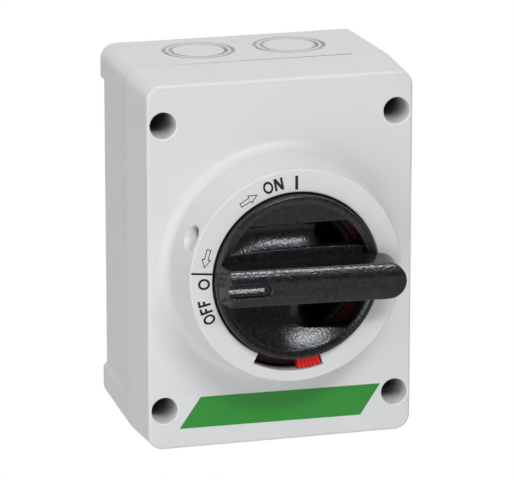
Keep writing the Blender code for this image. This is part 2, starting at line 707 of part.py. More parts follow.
def bar_outline(half, reach=None):
    """Full round at the tip. The left end is straight, or follows the rim where a reach is given."""
    tip = BAR_TIP - BAR_WIDTH / 2
    left = []
    for share in (1, 0.5, 0, -0.5, -1):
        y = share * half
        left.append((-math.sqrt(reach * reach - y * y) if reach else -BAR_LEFT_END, y))
    return left + arc_points(tip, 0, half, -90, 90, 14)


def ledge_outline():
    """The ledge's long sides bow out a little between the ends."""
    reach = KNOB_RADIUS - KNOB_RIM_WIDTH / 3
    half = LEDGE_END_WIDTH / 2
    steps = 8
    upper = []
    for i in range(steps + 1):
        share = 1 - 2 * i / steps
        bow = LEDGE_BOW * (1 - share * share)
        upper.append((share * reach * math.cos(math.asin(half / reach)), half + bow))
    return upper + [(x, -y) for x, y in reversed(upper)]


def finger_groove():
    """Ledge level beside the bar and the half-round trough beyond it, as a prism along X."""
    near = LEDGE_EDGE
    middle = (near + FINGER_GROOVE_REACH) / 2
    half = (FINGER_GROOVE_REACH - near) / 2
    depth = LEDGE_HEIGHT - FINGER_GROOVE_FLOOR
    top = KNOB_RIM_HEIGHT + WALL
    outline = [(-2 * SEAT, LEDGE_HEIGHT - SEAT), (-2 * SEAT, top), (FINGER_GROOVE_REACH, top)]
    for y, height in arc_points(0, 0, 1, 0, -180, 14):
        outline.append((middle + half * y, LEDGE_HEIGHT + depth * height))
    length = KNOB_RADIUS
    return loft([[(x, y, z) for y, z in outline] for x in (-length, length)])


def lower_bowl():
    """Round dish below the bar, falling from the rim towards the ledge."""
    near = LEDGE_EDGE
    rim = DISH_RADIUS - STEP
    depth = DISH_LEVEL + STEP - BOWL_FLOOR
    profile = [(0, BOWL_FLOOR), (near, BOWL_FLOOR)]
    steps = 7
    for i in range(1, steps + 1):
        share = i / steps
        profile.append((near + (rim - near) * share, BOWL_FLOOR + depth * share * share))
    profile += [(rim, KNOB_RIM_HEIGHT + WALL), (0, KNOB_RIM_HEIGHT + WALL)]
    return turned(profile, FINE)


def lock_outline(left, round_length, side):
    """Padlock opening beside the ledge: rounded at the left, following the rim at the right."""
    near = LEDGE_EDGE - SEAT / 2
    far = FINGER_GROOVE_REACH - SEAT
    rim = DISH_RADIUS - 3 * STEP
    middle = (near + far) / 2
    half = (far - near) / 2
    first = math.degrees(math.asin(near / rim))
    last = math.degrees(math.asin(far / rim))
    outline = arc_points(0, 0, rim, first, last, 5)
    for x, y in arc_points(0, 0, 1, 90, 270, 12):
        outline.append((left + round_length * (1 + x), middle + half * y))
    return [(x, side * y) for x, y in outline]


def lock_openings():
    """Both openings, lower one first; below the rim's web they widen to a thin skirt."""
    top = KNOB_RIM_HEIGHT + WALL
    bottom = BOSS_UNDERSIDE - WALL
    fronts = ((-1, LOWER_OPENING_LEFT, LOWER_OPENING_ROUND), (1, UPPER_OPENING_LEFT, UPPER_OPENING_ROUND))
    shapes = []
    for side, left, round_length in fronts:
        rear = lock_outline(LOCK_PASSAGE_LEFT, LOCK_PASSAGE_ROUND, side)
        front = lock_outline(left, round_length, side)
        rings = [[(x, y, bottom) for x, y in rear]]
        rings += [[(x, y, level) for x, y in front] for level in (OPENING_LEVEL, top)]
        shapes.append(loft(rings))
    return shapes


def rim_hollows():
    """Room behind the rim's web, beside both openings."""
    outer = KNOB_RADIUS - RIM_SKIRT
    inner = DISH_RADIUS - KNOB_RIM_WIDTH
    first = math.degrees(math.asin((LEDGE_END_WIDTH / 2 + LEDGE_BOW + SEAT) / inner))
    last = math.degrees(math.asin((FINGER_GROOVE_REACH - 2 * SEAT) / DISH_RADIUS))
    hollows = []
    for start, end in ((first, last), (-last, -first)):
        hollows.append(prism(sector(inner, outer, start, end, 8), KNOB_UNDERSIDE - WALL,
                             KNOB_RIM_HEIGHT - RIM_WEB))
    return gathered(hollows)


def pointer_groove():
    """Groove round a raised rib on the bar's front, open at the bar's left end."""
    half = POINTER_WIDTH / 2
    rib = POINTER_RIB / 2
    left = -BAR_LEFT_END - WALL
    centre = -BAR_LEFT_END + POINTER_LENGTH - half
    outline = [(left, -half)] + arc_points(centre, 0, half, -90, 90, 8) + [(left, half), (left, rib)]
    outline += arc_points(centre - rib, 0, rib, 90, -90, 6) + [(left, -rib)]
    low = [(x, y, bar_front(x) - POINTER_DEPTH) for x, y in outline]
    high = [(x, y, bar_front(x) + WALL) for x, y in outline]
    return loft([low, high])


def make_handle():
    edge = KNOB_RIM_EDGE
    profile = [(0, BOSS_UNDERSIDE), (BOSS_RADIUS, BOSS_UNDERSIDE), (BOSS_RADIUS, KNOB_UNDERSIDE),
               (KNOB_RADIUS, KNOB_UNDERSIDE), (KNOB_RADIUS, KNOB_RIM_HEIGHT - edge),
               (KNOB_RADIUS - edge, KNOB_RIM_HEIGHT), (DISH_RADIUS + edge, KNOB_RIM_HEIGHT),
               (DISH_RADIUS, DISH_LEVEL), (0, DISH_LEVEL)]
    knob = piece("handle_knob", turned(profile, FINE), BLACK, front_axis)
    passage = box(LOCK_PASSAGE_LEFT + LOCK_PASSAGE_ROUND / 2, KNOB_RADIUS + WALL,
                  -LEDGE_END_WIDTH / 2 - LEDGE_BOW, LEDGE_END_WIDTH / 2 + LEDGE_BOW,
                  BOSS_UNDERSIDE - WALL, LOCK_PASSAGE_TOP)
    cut(knob, "handle_lock_passage", passage)
    inside_rim = cylinder(DISH_RADIUS - 2 * STEP, 0, 2 * KNOB_RIM_HEIGHT, segments=FINE)
    groove = cut(knob, "handle_finger_groove", finger_groove())
    combine(groove, "INTERSECT", "handle_inside_rim", inside_rim)
    bowl = cut(knob, "handle_bowl", lower_bowl())
    combine(bowl, "INTERSECT", "handle_lower_half",
            box(-KNOB_RADIUS, KNOB_RADIUS, -KNOB_RADIUS, 0, 0, 2 * KNOB_RIM_HEIGHT))
    lower, upper = lock_openings()
    cut(knob, "handle_lock_opening_lower", lower)
    cut(knob, "handle_lock_opening_upper", upper)
    cut(knob, "handle_rim_hollows", rim_hollows())
    join(knob, "handle_ledge", prism(ledge_outline(), KNOB_UNDERSIDE + SEAT, LEDGE_HEIGHT))
    half = BAR_WIDTH / 2
    foot = half + BAR_SIDE_DRAFT
    root_end = DISH_RADIUS + KNOB_RIM_WIDTH / 3
    root_half = foot - SEAT / 3
    root = box(-root_end, root_end, -root_half, root_half, KNOB_UNDERSIDE + 2 * SEAT, DISH_LEVEL + SEAT)
    join(knob, "handle_bar_root", root)
    low = [(x, y, DISH_LEVEL) for x, y in bar_outline(foot, KNOB_RADIUS - KNOB_RIM_EDGE / 2)]
    high = [(x, y, bar_front(x)) for x, y in bar_outline(half)]
    join(knob, "handle_bar", loft([low, high]))
    cut(knob, "handle_pointer", pointer_groove())
    holes = []
    for side in (-1, 1):
        holes.append(cylinder(KNOB_SCREW_SHANK / 2 + SEAT, BOSS_UNDERSIDE - WALL,
                              BOSS_UNDERSIDE + KNOB_SCREW_GRIP + SEAT, -KNOB_SCREW_X, side * KNOB_SCREW_Y, SCREW))
    cut(knob, "handle_screw_holes", gathered(holes))


def make_spindle():
    groove = SPINDLE_RADIUS - CLIP_GROOVE_DEPTH
    seal_half = SEAL_SECTION / 2 + SEAT
    seal_groove = SPINDLE_RADIUS - SEAL_SECTION - SEAT
    profile = [(0, SPINDLE_END), (SPINDLE_RADIUS, SPINDLE_END),
               (SPINDLE_RADIUS, CLIP_TOP - CLIP_THICKNESS - SEAT), (groove, CLIP_TOP - CLIP_THICKNESS - SEAT),
               (groove, CLIP_TOP + SEAT), (SPINDLE_RADIUS, CLIP_TOP + SEAT),
               (SPINDLE_RADIUS, SEAL_HEIGHT - seal_half), (seal_groove, SEAL_HEIGHT - seal_half),
               (seal_groove, SEAL_HEIGHT + seal_half), (SPINDLE_RADIUS, SEAL_HEIGHT + seal_half),
               (SPINDLE_RADIUS, FLANGE_UNDERSIDE), (FLANGE_RADIUS, FLANGE_UNDERSIDE),
               (FLANGE_RADIUS, FLANGE_TOP), (0, FLANGE_TOP)]
    spindle = piece("handle_spindle", turned(profile, 24), BLACK, front_axis)
    socket = prism(square(SHAFT_SIDE + 2 * SEAT), SPINDLE_END - WALL, SHAFT_REACH + SEAT)
    cut(spindle, "spindle_socket", socket)
    holes = []
    for i, side in enumerate((-1, 1)):
        x = -KNOB_SCREW_X
        y = side * KNOB_SCREW_Y
        holes.append(cylinder(KNOB_SCREW_SHANK / 2 + SEAT, FLANGE_UNDERSIDE - WALL, FLANGE_TOP + WALL, x, y,
                              SCREW))
        body = screw(KNOB_SCREW_HEAD, KNOB_SCREW_HEAD_HEIGHT, KNOB_SCREW_SHANK,
                     KNOB_SCREW_GRIP + FLANGE_THICKNESS)
        body = moved(spun(body, 180, "X"), x, y, FLANGE_UNDERSIDE - SEAT)
        piece(f"knob_screw_{i + 1}", body, STEEL, front_axis)
    cut(spindle, "spindle_holes", gathered(holes))
    inner = groove + SEAT
    clip = [(inner, CLIP_TOP - CLIP_THICKNESS), (CLIP_RADIUS, CLIP_TOP - CLIP_THICKNESS),
            (CLIP_RADIUS, CLIP_TOP), (inner, CLIP_TOP)]
    piece("spindle_clip", turned(clip, 24), STEEL, front_axis)
    seal_middle = SPINDLE_RADIUS - SEAL_SECTION / 2 + RUN / 4
    section = arc_points(seal_middle, SEAL_HEIGHT, SEAL_SECTION / 2, 0, 360, 8)[:-1]
    piece("shaft_seal", turned(section, 24), RUBBER, front_axis)


# Switch block
def make_switch_base():
    half_x = SWITCH_WIDTH / 2
    half_y = SWITCH_LENGTH / 2
    tray = piece("switch_base", box(-half_x, half_x, -half_y, half_y, TRAY_BOTTOM, TRAY_TOP), SWITCH_PLASTIC,
                 wall)
    room = box(-half_x + TRAY_WALL, half_x - TRAY_WALL, -half_y + TRAY_WALL, half_y - TRAY_WALL,
               TRAY_BOTTOM + TRAY_FLOOR, TRAY_TOP + WALL)
    cut(tray, "switch_base_room", room)
    ribs = []
    bar_middle = CONTACT_BACK - TERMINAL_WIDTH / 2
    for side in (-1, 1):
        for between in (-0.5, 0.5):
            x = between * POLE_PITCH + bar_middle
            y = side * (half_y - TRAY_WALL / 2 - TRAY_RIB_LENGTH / 2)
            ribs.append(box(x - TRAY_RIB / 2, x + TRAY_RIB / 2, y - TRAY_RIB_LENGTH / 2,
                            y + TRAY_RIB_LENGTH / 2,
                            TRAY_BOTTOM + TRAY_FLOOR / 2, TRAY_TOP - SEAT))
        x = side * (half_x + EAR_REACH / 2)
        ribs.append(box(x - EAR_REACH / 2 - TRAY_WALL / 2, x + EAR_REACH / 2 + TRAY_WALL / 2,
                        -EAR_WIDTH / 2, EAR_WIDTH / 2, TRAY_BOTTOM + SEAT / 2, TRAY_BOTTOM + EAR_THICKNESS))
    join(tray, "switch_base_ribs", gathered(ribs))
    openings = []
    for side in (-1, 1):
        openings.append(cylinder(SWITCH_SCREW_SHANK / 2 + SEAT, TRAY_BOTTOM - WALL,
                                 TRAY_BOTTOM + 2 * EAR_THICKNESS,
                                 side * EAR_SCREW_X, 0))
        for pole in POLES:
            x = pole + bar_middle
            openings.append(box(x - WIRE_ENTRY_WIDTH / 2, x + WIRE_ENTRY_WIDTH / 2,
                                side * half_y - 2 * TRAY_WALL, side * half_y + 2 * TRAY_WALL,
                                TERMINAL_TOP, TRAY_TOP + WALL))
    cut(tray, "switch_base_openings", gathered(openings))


def make_switch_top():
    half_x = SWITCH_WIDTH / 2
    half_y = SWITCH_TOP_LENGTH / 2
    top = piece("switch_top", box(-half_x, half_x, -half_y, half_y, SWITCH_TOP_LOW, SWITCH_TOP_HIGH),
                SWITCH_PLASTIC, wall)
    room = box(-half_x + TRAY_WALL, half_x - TRAY_WALL, -half_y + TRAY_WALL, half_y - TRAY_WALL,
               SWITCH_TOP_LOW - WALL, ROOF_LOW)
    cut(top, "switch_top_room", room)
    near = CARRIAGE_WIDTH / 2 + RUN
    inner = half_x - TRAY_WALL - RUN
    ribs = []
    for side in (-1, 1):
        low, high = sorted((side * near, side * (near + GUIDE_RIB)))
        ribs.append(box(-inner, inner, low, high, PLATE_LOW + RUN, ROOF_LOW + SWITCH_ROOF / 2))
    join(top, "switch_top_ribs", gathered(ribs))
    bore = cylinder(ROTOR_HUB_DIAMETER / 2 + RUN, ROOF_LOW - WALL, SWITCH_TOP_HIGH + WALL, segments=24)
    cut(top, "switch_top_bore", bore)


def make_switch_screws():
    for i, side in enumerate((-1, 1)):
        length = EAR_THICKNESS + STANDOFF_HEIGHT
        body = screw(SWITCH_SCREW_HEAD, SWITCH_SCREW_HEAD_HEIGHT, SWITCH_SCREW_SHANK, length)
        piece(f"switch_screw_{i + 1}", moved(body, side * EAR_SCREW_X, 0, TRAY_BOTTOM + EAR_THICKNESS + SEAT),
              STEEL, wall)


def make_rotor_and_shaft():
    hub = ROTOR_HUB_DIAMETER / 2
    profile = [(0, ROTOR_LOW), (ROTOR_RADIUS, ROTOR_LOW), (ROTOR_RADIUS, ROTOR_TOP), (hub, ROTOR_TOP),
               (hub, ROTOR_HUB_TOP), (0, ROTOR_HUB_TOP)]
    rotor = piece("rotor", turned(profile, 24), CARRIAGE_PLASTIC, wall)
    pin_end = PLATE_HIGH - CRANK_SLOT_DEPTH + RUN
    join(rotor, "rotor_crank_pin", cylinder(CRANK_PIN_DIAMETER / 2, pin_end, ROTOR_LOW + ROTOR_THICKNESS / 2,
                                            CRANK_X, CRANK_Y, 14))
    socket_floor = ROTOR_HUB_TOP - SHAFT_SOCKET_DEPTH
    cut(rotor, "rotor_socket", prism(square(SHAFT_SIDE + 2 * SEAT), socket_floor, ROTOR_HUB_TOP + WALL))
    piece("drive_shaft", prism(square(SHAFT_SIDE), socket_floor + SEAT, SHAFT_TOP), STEEL, wall)


def make_carriage():
    """Comb under a flat plate: each tooth pair holds one bridge and its spring."""
    left = POLES[0] + POST_FACE - CARRIAGE_POST
    right = POLES[-1] + BRIDGE_FACE + SEAT + CARRIAGE_LIP
    half = CARRIAGE_WIDTH / 2
    carriage = piece("contact_carriage", box(left, right, -half, half, PLATE_LOW, PLATE_HIGH),
                     CARRIAGE_PLASTIC, wall)
    teeth = []
    comb = CARRIAGE_COMB_WIDTH / 2
    tooth_low = TERMINAL_BOTTOM + RUN
    for pole in POLES:
        post = pole + POST_FACE
        lip = pole + BRIDGE_FACE + SEAT
        inset = SEAT / 3
        teeth.append(box(post - CARRIAGE_POST + inset, post, -comb, comb, tooth_low,
                         PLATE_LOW + CARRIAGE_THICKNESS / 3))
        teeth.append(box(lip, lip + CARRIAGE_LIP - inset, -comb, comb, tooth_low,
                         PLATE_LOW + CARRIAGE_THICKNESS / 3))
    join(carriage, "carriage_teeth", gathered(teeth))
    slot = CRANK_PIN_DIAMETER / 2 + CRANK_SLOT_PLAY
    cut(carriage, "carriage_slot", box(CRANK_X - slot, CRANK_X + slot, CRANK_Y - slot, CRANK_RADIUS + slot,
                                       PLATE_HIGH - CRANK_SLOT_DEPTH, PLATE_HIGH + WALL))


def make_bridges():
    outer = CONTACT_INNER_Y + CONTACT_LENGTH
    low = TERMINAL_TOP + SEAT
    high = CONTACT_TOP - SEAT
    for i, pole in enumerate(POLES):
        outline = [(pole + BRIDGE_BACK, -outer), (pole + PAD_FACE, -outer),
                   (pole + PAD_FACE, -CONTACT_INNER_Y),
                   (pole + BRIDGE_FACE, -CONTACT_INNER_Y), (pole + BRIDGE_FACE, CONTACT_INNER_Y),
                   (pole + PAD_FACE, CONTACT_INNER_Y), (pole + PAD_FACE, outer), (pole + BRIDGE_BACK, outer)]
        piece(f"contact_bridge_{i + 1}", prism(outline, low, high), COPPER, wall)
        middle = (low + high) / 2
        steps = 10
        front = []
        for step in range(steps + 1):
            share = 1 - 2 * step / steps
            bow = SPRING_BOW * (1 - share * share)
            front.append((pole + BRIDGE_BACK - SEAT - bow, share * SPRING_LENGTH / 2))
        leaf = front + [(x - SPRING_THICKNESS, y) for x, y in reversed(front)]
        piece(f"bridge_spring_{i + 1}", prism(leaf, middle - SPRING_WIDTH / 2, middle + SPRING_WIDTH / 2),
              STEEL, wall)


def make_terminals():
    number = 0
    for row, side in (("line", 1), ("load", -1)):
        for i, pole in enumerate(POLES):
            number += 1
            right = pole + CONTACT_BACK
            left = right - TERMINAL_WIDTH
            low, high = sorted((side * CONTACT_INNER_Y, side * TERMINAL_END))
            bar = piece(f"{row}_terminal_{i + 1}", box(left, right, low, high, TERMINAL_BOTTOM, TERMINAL_TOP),
                        BRASS, wall)
            low, high = sorted((side * CONTACT_INNER_Y, side * (CONTACT_INNER_Y + CONTACT_LENGTH)))
            join(bar, f"{row}_contact_{i + 1}", box(pole + CONTACT_FACE, right, low, high,
                                                    TERMINAL_BOTTOM + TERMINAL_THICKNESS / 2, CONTACT_TOP))
            x = (left + right) / 2
            y = side * TERMINAL_SCREW_Y
            hole = TERMINAL_SCREW_SHANK / 2 + SEAT
            cut(bar, f"{row}_terminal_hole_{i + 1}", cylinder(hole, TERMINAL_BOTTOM - WALL,
                                                              TERMINAL_TOP + WALL, x, y, SCREW))
            clamp_low = TERMINAL_TOP + WIRE_GAP
            half = CLAMP_SIDE / 2
            clamp = piece(f"terminal_clamp_{number}", box(x - half, x + half, y - half, y + half, clamp_low,
                                                          clamp_low + CLAMP_THICKNESS), STEEL, wall)
            cut(clamp, f"terminal_clamp_hole_{number}", cylinder(hole, clamp_low - WALL, clamp_low + 2 * WALL,
                                                                 x, y, SCREW))
            seat = clamp_low + CLAMP_THICKNESS + SEAT
            body = screw(TERMINAL_SCREW_HEAD, TERMINAL_SCREW_HEAD_HEIGHT, TERMINAL_SCREW_SHANK,
                         seat - TERMINAL_BOTTOM)
            piece(f"terminal_screw_{number}", moved(body, x, y, seat), STEEL, wall)


def make_earth_terminal():
    low = BACK_THICKNESS + EARTH_POST_HEIGHT + SEAT
    high = low + EARTH_HEIGHT
    inset = SEAT
    block = piece("earth_terminal", box(-EARTH_LENGTH / 2 + inset, EARTH_LENGTH / 2 - inset,
                                        EARTH_Y - EARTH_WIDTH / 2 + inset, EARTH_Y + EARTH_WIDTH / 2 - inset, low, high),
                  BRASS, wall)
    holes = []
    for i, side in enumerate((-1, 1)):
        x = side * EARTH_SCREW_SPACING / 2
        holes.append(cylinder(EARTH_SCREW_SHANK / 2 + SEAT, low - WALL, high + WALL, x, EARTH_Y, SCREW))
        body = screw(EARTH_SCREW_HEAD, EARTH_SCREW_HEAD_HEIGHT, EARTH_SCREW_SHANK,
                     EARTH_HEIGHT + EARTH_POST_HEIGHT / 2)
        piece(f"earth_screw_{i + 1}", moved(body, x, EARTH_Y, high + SEAT), STEEL, wall)
    cut(block, "earth_terminal_holes", gathered(holes))


make_base()
make_cover()
make_gasket()
make_cover_screws()
make_bearing_plate()
make_lock_ring()
make_handle()
make_spindle()
make_switch_base()
make_switch_top()
make_switch_screws()
make_rotor_and_shaft()
make_carriage()
make_bridges()
make_terminals()
make_earth_terminal()
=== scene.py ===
"""Looks of the rotary isolator switch: a light grey wall enclosure with a black padlockable handle.

Each piece is modelled lying on its back, X to the right, Y up the wall and Z out of the wall, and is then
stood up against the wall, so that its front faces -Y. Sizes are in metres.
"""

import math

import bmesh
import bpy
from mathutils import Matrix, Vector


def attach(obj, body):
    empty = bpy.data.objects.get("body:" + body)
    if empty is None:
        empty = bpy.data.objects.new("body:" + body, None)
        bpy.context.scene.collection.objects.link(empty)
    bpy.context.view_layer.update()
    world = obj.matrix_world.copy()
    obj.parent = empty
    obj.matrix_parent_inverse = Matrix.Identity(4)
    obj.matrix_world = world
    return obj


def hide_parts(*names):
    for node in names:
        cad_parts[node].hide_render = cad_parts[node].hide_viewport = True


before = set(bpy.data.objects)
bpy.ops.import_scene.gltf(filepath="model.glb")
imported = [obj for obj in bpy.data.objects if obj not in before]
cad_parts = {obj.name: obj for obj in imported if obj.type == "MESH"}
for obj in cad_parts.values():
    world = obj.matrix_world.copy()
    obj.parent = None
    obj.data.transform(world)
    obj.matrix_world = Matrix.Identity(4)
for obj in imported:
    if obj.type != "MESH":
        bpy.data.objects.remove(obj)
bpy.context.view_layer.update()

# Base box
# A deep tray moulded in light grey plastic, with proud corner posts, flat recessed walls and four
# double-ring knock-outs. It hangs on the wall by screws through its back and carries everything else.
UPRIGHT = Matrix.Rotation(math.radians(90), 4, "X")
HALF_WIDTH = 0.0504
HALF_HEIGHT = 0.0686
CORNER_RADIUS = 0.0056
PARTING = 0.0428
PARTING_GAP = 0.0003
SCREW_X = 0.0433
SCREW_Y = 0.0529
QUARTERS = ((1, 1), (-1, 1), (-1, -1), (1, -1))
OVERCUT = 0.002
BACK_EDGE = 0.0006
BACK_TAPER_X = 0.0010
BACK_TAPER_Y = 0.0005
BACK_THICKNESS = 0.0030
SIDE_WALL = 0.0479
SIDE_PANEL_HALF = 0.0545
SIDE_SHOULDER = 0.88
END_WALL = 0.0679
END_PANEL_HALF = 0.0350
END_SHOULDER = 2.5
CAVITY_X = 0.0455
CAVITY_Y = 0.0655
CAVITY_CORNER = 0.0030
BOSS_RADIUS = 0.0045
BOSS_ROOT = 0.0015
SCREW_BORE = 0.0021
SCREW_BORE_FLOOR = 0.0285
FIXING_X = 0.0325
FIXING_Y = 0.0560
FIXING_BORE = 0.0025
STANDOFF_X = 0.0325
STANDOFF_TOP = 0.0080
EARTH_X = 0.0065
EARTH_Y = -0.0500
EARTH_TOP = 0.0100
EARTH_BORE = 0.0018
KNOCKOUT_RINGS = (0.0255, 0.0205)
KNOCKOUT_X = 0.01725
KNOCKOUT_LEVEL = 0.0199


def block(half_x, half_y, low, high, corner=0.0, segments=8):
    """An upright block, with its four standing edges rounded if a corner radius is given."""
    bm = bmesh.new()
    bmesh.ops.create_cube(bm, size=1.0)
    bmesh.ops.scale(bm, vec=(2 * half_x, 2 * half_y, high - low), verts=bm.verts)
    bmesh.ops.translate(bm, vec=(0, 0, (low + high) / 2), verts=bm.verts)
    if corner:
        standing = [e for e in bm.edges if abs(e.verts[0].co.z - e.verts[1].co.z) > (high - low) / 2]
        bmesh.ops.bevel(bm, geom=standing, offset=corner, segments=segments, profile=0.5, affect="EDGES",
                        material=-1)
    return bm


def prism(outline, low, high):
    """A flat outline raised from one height to another."""
    bm = bmesh.new()
    floor = bm.faces.new([bm.verts.new((x, y, low)) for x, y in outline])
    raised = bmesh.ops.extrude_face_region(bm, geom=[floor])["geom"]
    roof = [v for v in raised if isinstance(v, bmesh.types.BMVert)]
    bmesh.ops.translate(bm, vec=(0, 0, high - low), verts=roof)
    bmesh.ops.recalc_face_normals(bm, faces=bm.faces)
    return bm


def turned(profile, steps=96):
    """A (radius, height) profile turned about Z."""
    bm = bmesh.new()
    verts = [bm.verts.new((radius, 0, height)) for radius, height in profile]
    edges = []
    for first, second in zip(verts, verts[1:] + verts[:1]):
        if first.co.x or second.co.x:
            edges.append(bm.edges.new((first, second)))
    bmesh.ops.spin(bm, geom=verts + edges, cent=(0, 0, 0), axis=(0, 0, 1), angle=math.tau, steps=steps,
                   use_merge=True)
    bmesh.ops.remove_doubles(bm, verts=bm.verts, dist=1e-7)
    bmesh.ops.recalc_face_normals(bm, faces=bm.faces)
    return bm


def rod(radius, low, high, x=0.0, y=0.0, steps=48):
    """An upright round rod."""
    bm = bmesh.new()
    bmesh.ops.create_cone(bm, cap_ends=True, segments=steps, radius1=radius, radius2=radius,
                          depth=high - low)
    bmesh.ops.translate(bm, vec=(x, y, (low + high) / 2), verts=bm.verts)
    return bm


def moved(bm, x=0.0, y=0.0, z=0.0):
    bmesh.ops.translate(bm, vec=(x, y, z), verts=bm.verts)
    return bm


def swung(bm, degrees, axis="Z"):
    turn = Matrix.Rotation(math.radians(degrees), 3, axis)
    bmesh.ops.rotate(bm, cent=(0, 0, 0), matrix=turn, verts=bm.verts)
    return bm


def add_shape(name, bm):
    mesh = bpy.data.meshes.new(name)
    bm.to_mesh(mesh)
    bm.free()
    made = bpy.data.objects.new(name, mesh)
    bpy.context.scene.collection.objects.link(made)
    return made


def shape(target, operation, *tools):
    """Cuts tools from a shape, joins them on or keeps what is shared, one after the other."""
    for bm in tools:
        tool = bm if isinstance(bm, bpy.types.Object) else add_shape("tool", bm)
        step = target.modifiers.new("shape", "BOOLEAN")
        step.operation = operation
        step.solver = "EXACT"
        step.object = tool
        evaluated = target.evaluated_get(bpy.context.evaluated_depsgraph_get())
        mesh = bpy.data.meshes.new_from_object(evaluated)
        target.modifiers.clear()
        target.data = mesh
        bpy.data.objects.remove(tool)
    return target


def finish_piece(piece, material, body, slot, *nodes, angle=32):
    """Stands a piece up, smooths it and puts it on its body in place of its CAD nodes."""
    piece.data.transform(UPRIGHT)
    piece.data.materials.clear()
    piece.data.materials.append(material)
    piece.data.shade_smooth()
    piece.data.set_sharp_from_angle(angle=math.radians(angle))
    even = piece.modifiers.new("even shading", "WEIGHTED_NORMAL")
    even.keep_sharp = True
    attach(piece, body)
    if nodes:
        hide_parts(*nodes)
    return piece


def moulded_plastic(name, colour, roughness, grain, depth, mottle, specular=0.5, detail=3.0, patch=0.0167):
    """Moulded plastic: a spark-eroded grain, mottling of its colour in patches and uneven gloss."""
    unevenness = 0.06
    material = bpy.data.materials.new(name)
    material.use_nodes = True
    nodes = material.node_tree.nodes
    links = material.node_tree.links
    shader = nodes["Principled BSDF"]
    shader.inputs["Specular IOR Level"].default_value = specular
    place = nodes.new("ShaderNodeTexCoord")
    fine = nodes.new("ShaderNodeTexNoise")
    fine.inputs["Scale"].default_value = 1 / grain
    fine.inputs["Detail"].default_value = detail
    links.new(place.outputs["Object"], fine.inputs["Vector"])
    broad = nodes.new("ShaderNodeTexNoise")
    broad.inputs["Scale"].default_value = 1 / patch
    broad.inputs["Detail"].default_value = 2.0
    links.new(place.outputs["Object"], broad.inputs["Vector"])
    tint = nodes.new("ShaderNodeValToRGB")
    tint.color_ramp.elements[0].position = 0.3
    tint.color_ramp.elements[1].position = 0.7
    tint.color_ramp.elements[0].color = (*[c * (1 - mottle) for c in colour], 1)
    tint.color_ramp.elements[1].color = (*[min(1.0, c * (1 + mottle)) for c in colour], 1)
    links.new(broad.outputs["Fac"], tint.inputs["Fac"])
    links.new(tint.outputs["Color"], shader.inputs["Base Color"])
    gloss = nodes.new("ShaderNodeMapRange")
    gloss.inputs["To Min"].default_value = roughness - unevenness
    gloss.inputs["To Max"].default_value = roughness + unevenness
    links.new(fine.outputs["Fac"], gloss.inputs["Value"])
    links.new(gloss.outputs["Result"], shader.inputs["Roughness"])
    bump = nodes.new("ShaderNodeBump")
    bump.inputs["Strength"].default_value = 1.0
    bump.inputs["Distance"].default_value = depth
    links.new(fine.outputs["Fac"], bump.inputs["Height"])
    links.new(bump.outputs["Normal"], shader.inputs["Normal"])
    return material


def wall_panel(face, half_length, slope, turn):
    """What is missing outside a flat wall panel, with sloped shoulders at both ends."""
    reach = 0.006
    outline = ((face, half_length), (face, -half_length), (face + reach, -half_length - slope * reach),
               (face + reach, half_length + slope * reach))
    return swung(prism(outline, -OVERCUT, PARTING + OVERCUT), turn)


def knockout_groove(diameter, x, y):
    """A ring groove in the end wall, with leaning sides and a narrow floor."""
    radius = diameter / 2
    half_mouth = 0.0008
    half_floor = 0.0006
    proud = 0.0004
    depth = 0.0015
    ring = turned([(radius + half_mouth, proud), (radius + half_floor, -depth),
                   (radius - half_floor, -depth), (radius - half_mouth, proud)], 72)
    turn = -90 if y > 0 else 90
    return moved(swung(ring, turn, "X"), x, y, KNOCKOUT_LEVEL)


light_grey = moulded_plastic("light grey moulded plastic", (0.660, 0.668, 0.678), roughness=0.42,
                             grain=0.00035, depth=0.000012, mottle=0.012)

body_shell = block(HALF_WIDTH, HALF_HEIGHT, 0.0, PARTING - PARTING_GAP / 2, CORNER_RADIUS, 10)
for vert in body_shell.verts:
    if vert.co.z < PARTING / 2:
        vert.co.x -= math.copysign(BACK_TAPER_X, vert.co.x)
        vert.co.y -= math.copysign(BACK_TAPER_Y, vert.co.y)
back_rim = [e for e in body_shell.edges if all(v.co.z < PARTING / 2 for v in e.verts)]
bmesh.ops.bevel(body_shell, geom=back_rim, offset=BACK_EDGE, segments=2, profile=0.5, affect="EDGES",
                material=-1)
base = add_shape("base", body_shell)
shape(base, "DIFFERENCE",
      wall_panel(SIDE_WALL, SIDE_PANEL_HALF, SIDE_SHOULDER, 0),
      wall_panel(SIDE_WALL, SIDE_PANEL_HALF, SIDE_SHOULDER, 180),
      wall_panel(END_WALL, END_PANEL_HALF, END_SHOULDER, 90),
      wall_panel(END_WALL, END_PANEL_HALF, END_SHOULDER, 270),
      block(CAVITY_X, CAVITY_Y, BACK_THICKNESS, PARTING + OVERCUT, CAVITY_CORNER, 5))
for side_x, side_y in QUARTERS:
    x = side_x * SCREW_X
    y = side_y * SCREW_Y
    shape(base, "UNION", rod(BOSS_RADIUS, BOSS_ROOT, PARTING - PARTING_GAP, x, y, 32))
    shape(base, "DIFFERENCE", rod(SCREW_BORE, SCREW_BORE_FLOOR, PARTING + OVERCUT, x, y, 24),
          rod(FIXING_BORE, -OVERCUT, 2 * BACK_THICKNESS, side_x * FIXING_X, side_y * FIXING_Y, 32))
for side in (-1, 1):
    shape(base, "UNION", rod(BOSS_RADIUS, BOSS_ROOT, STANDOFF_TOP, side * STANDOFF_X, 0, 32))
    shape(base, "DIFFERENCE", rod(SCREW_BORE, BOSS_ROOT, STANDOFF_TOP + OVERCUT, side * STANDOFF_X, 0, 24))
earth_stand = block(half_x=0.0130, half_y=0.0040, low=BOSS_ROOT, high=EARTH_TOP)
shape(base, "UNION", moved(earth_stand, y=EARTH_Y))
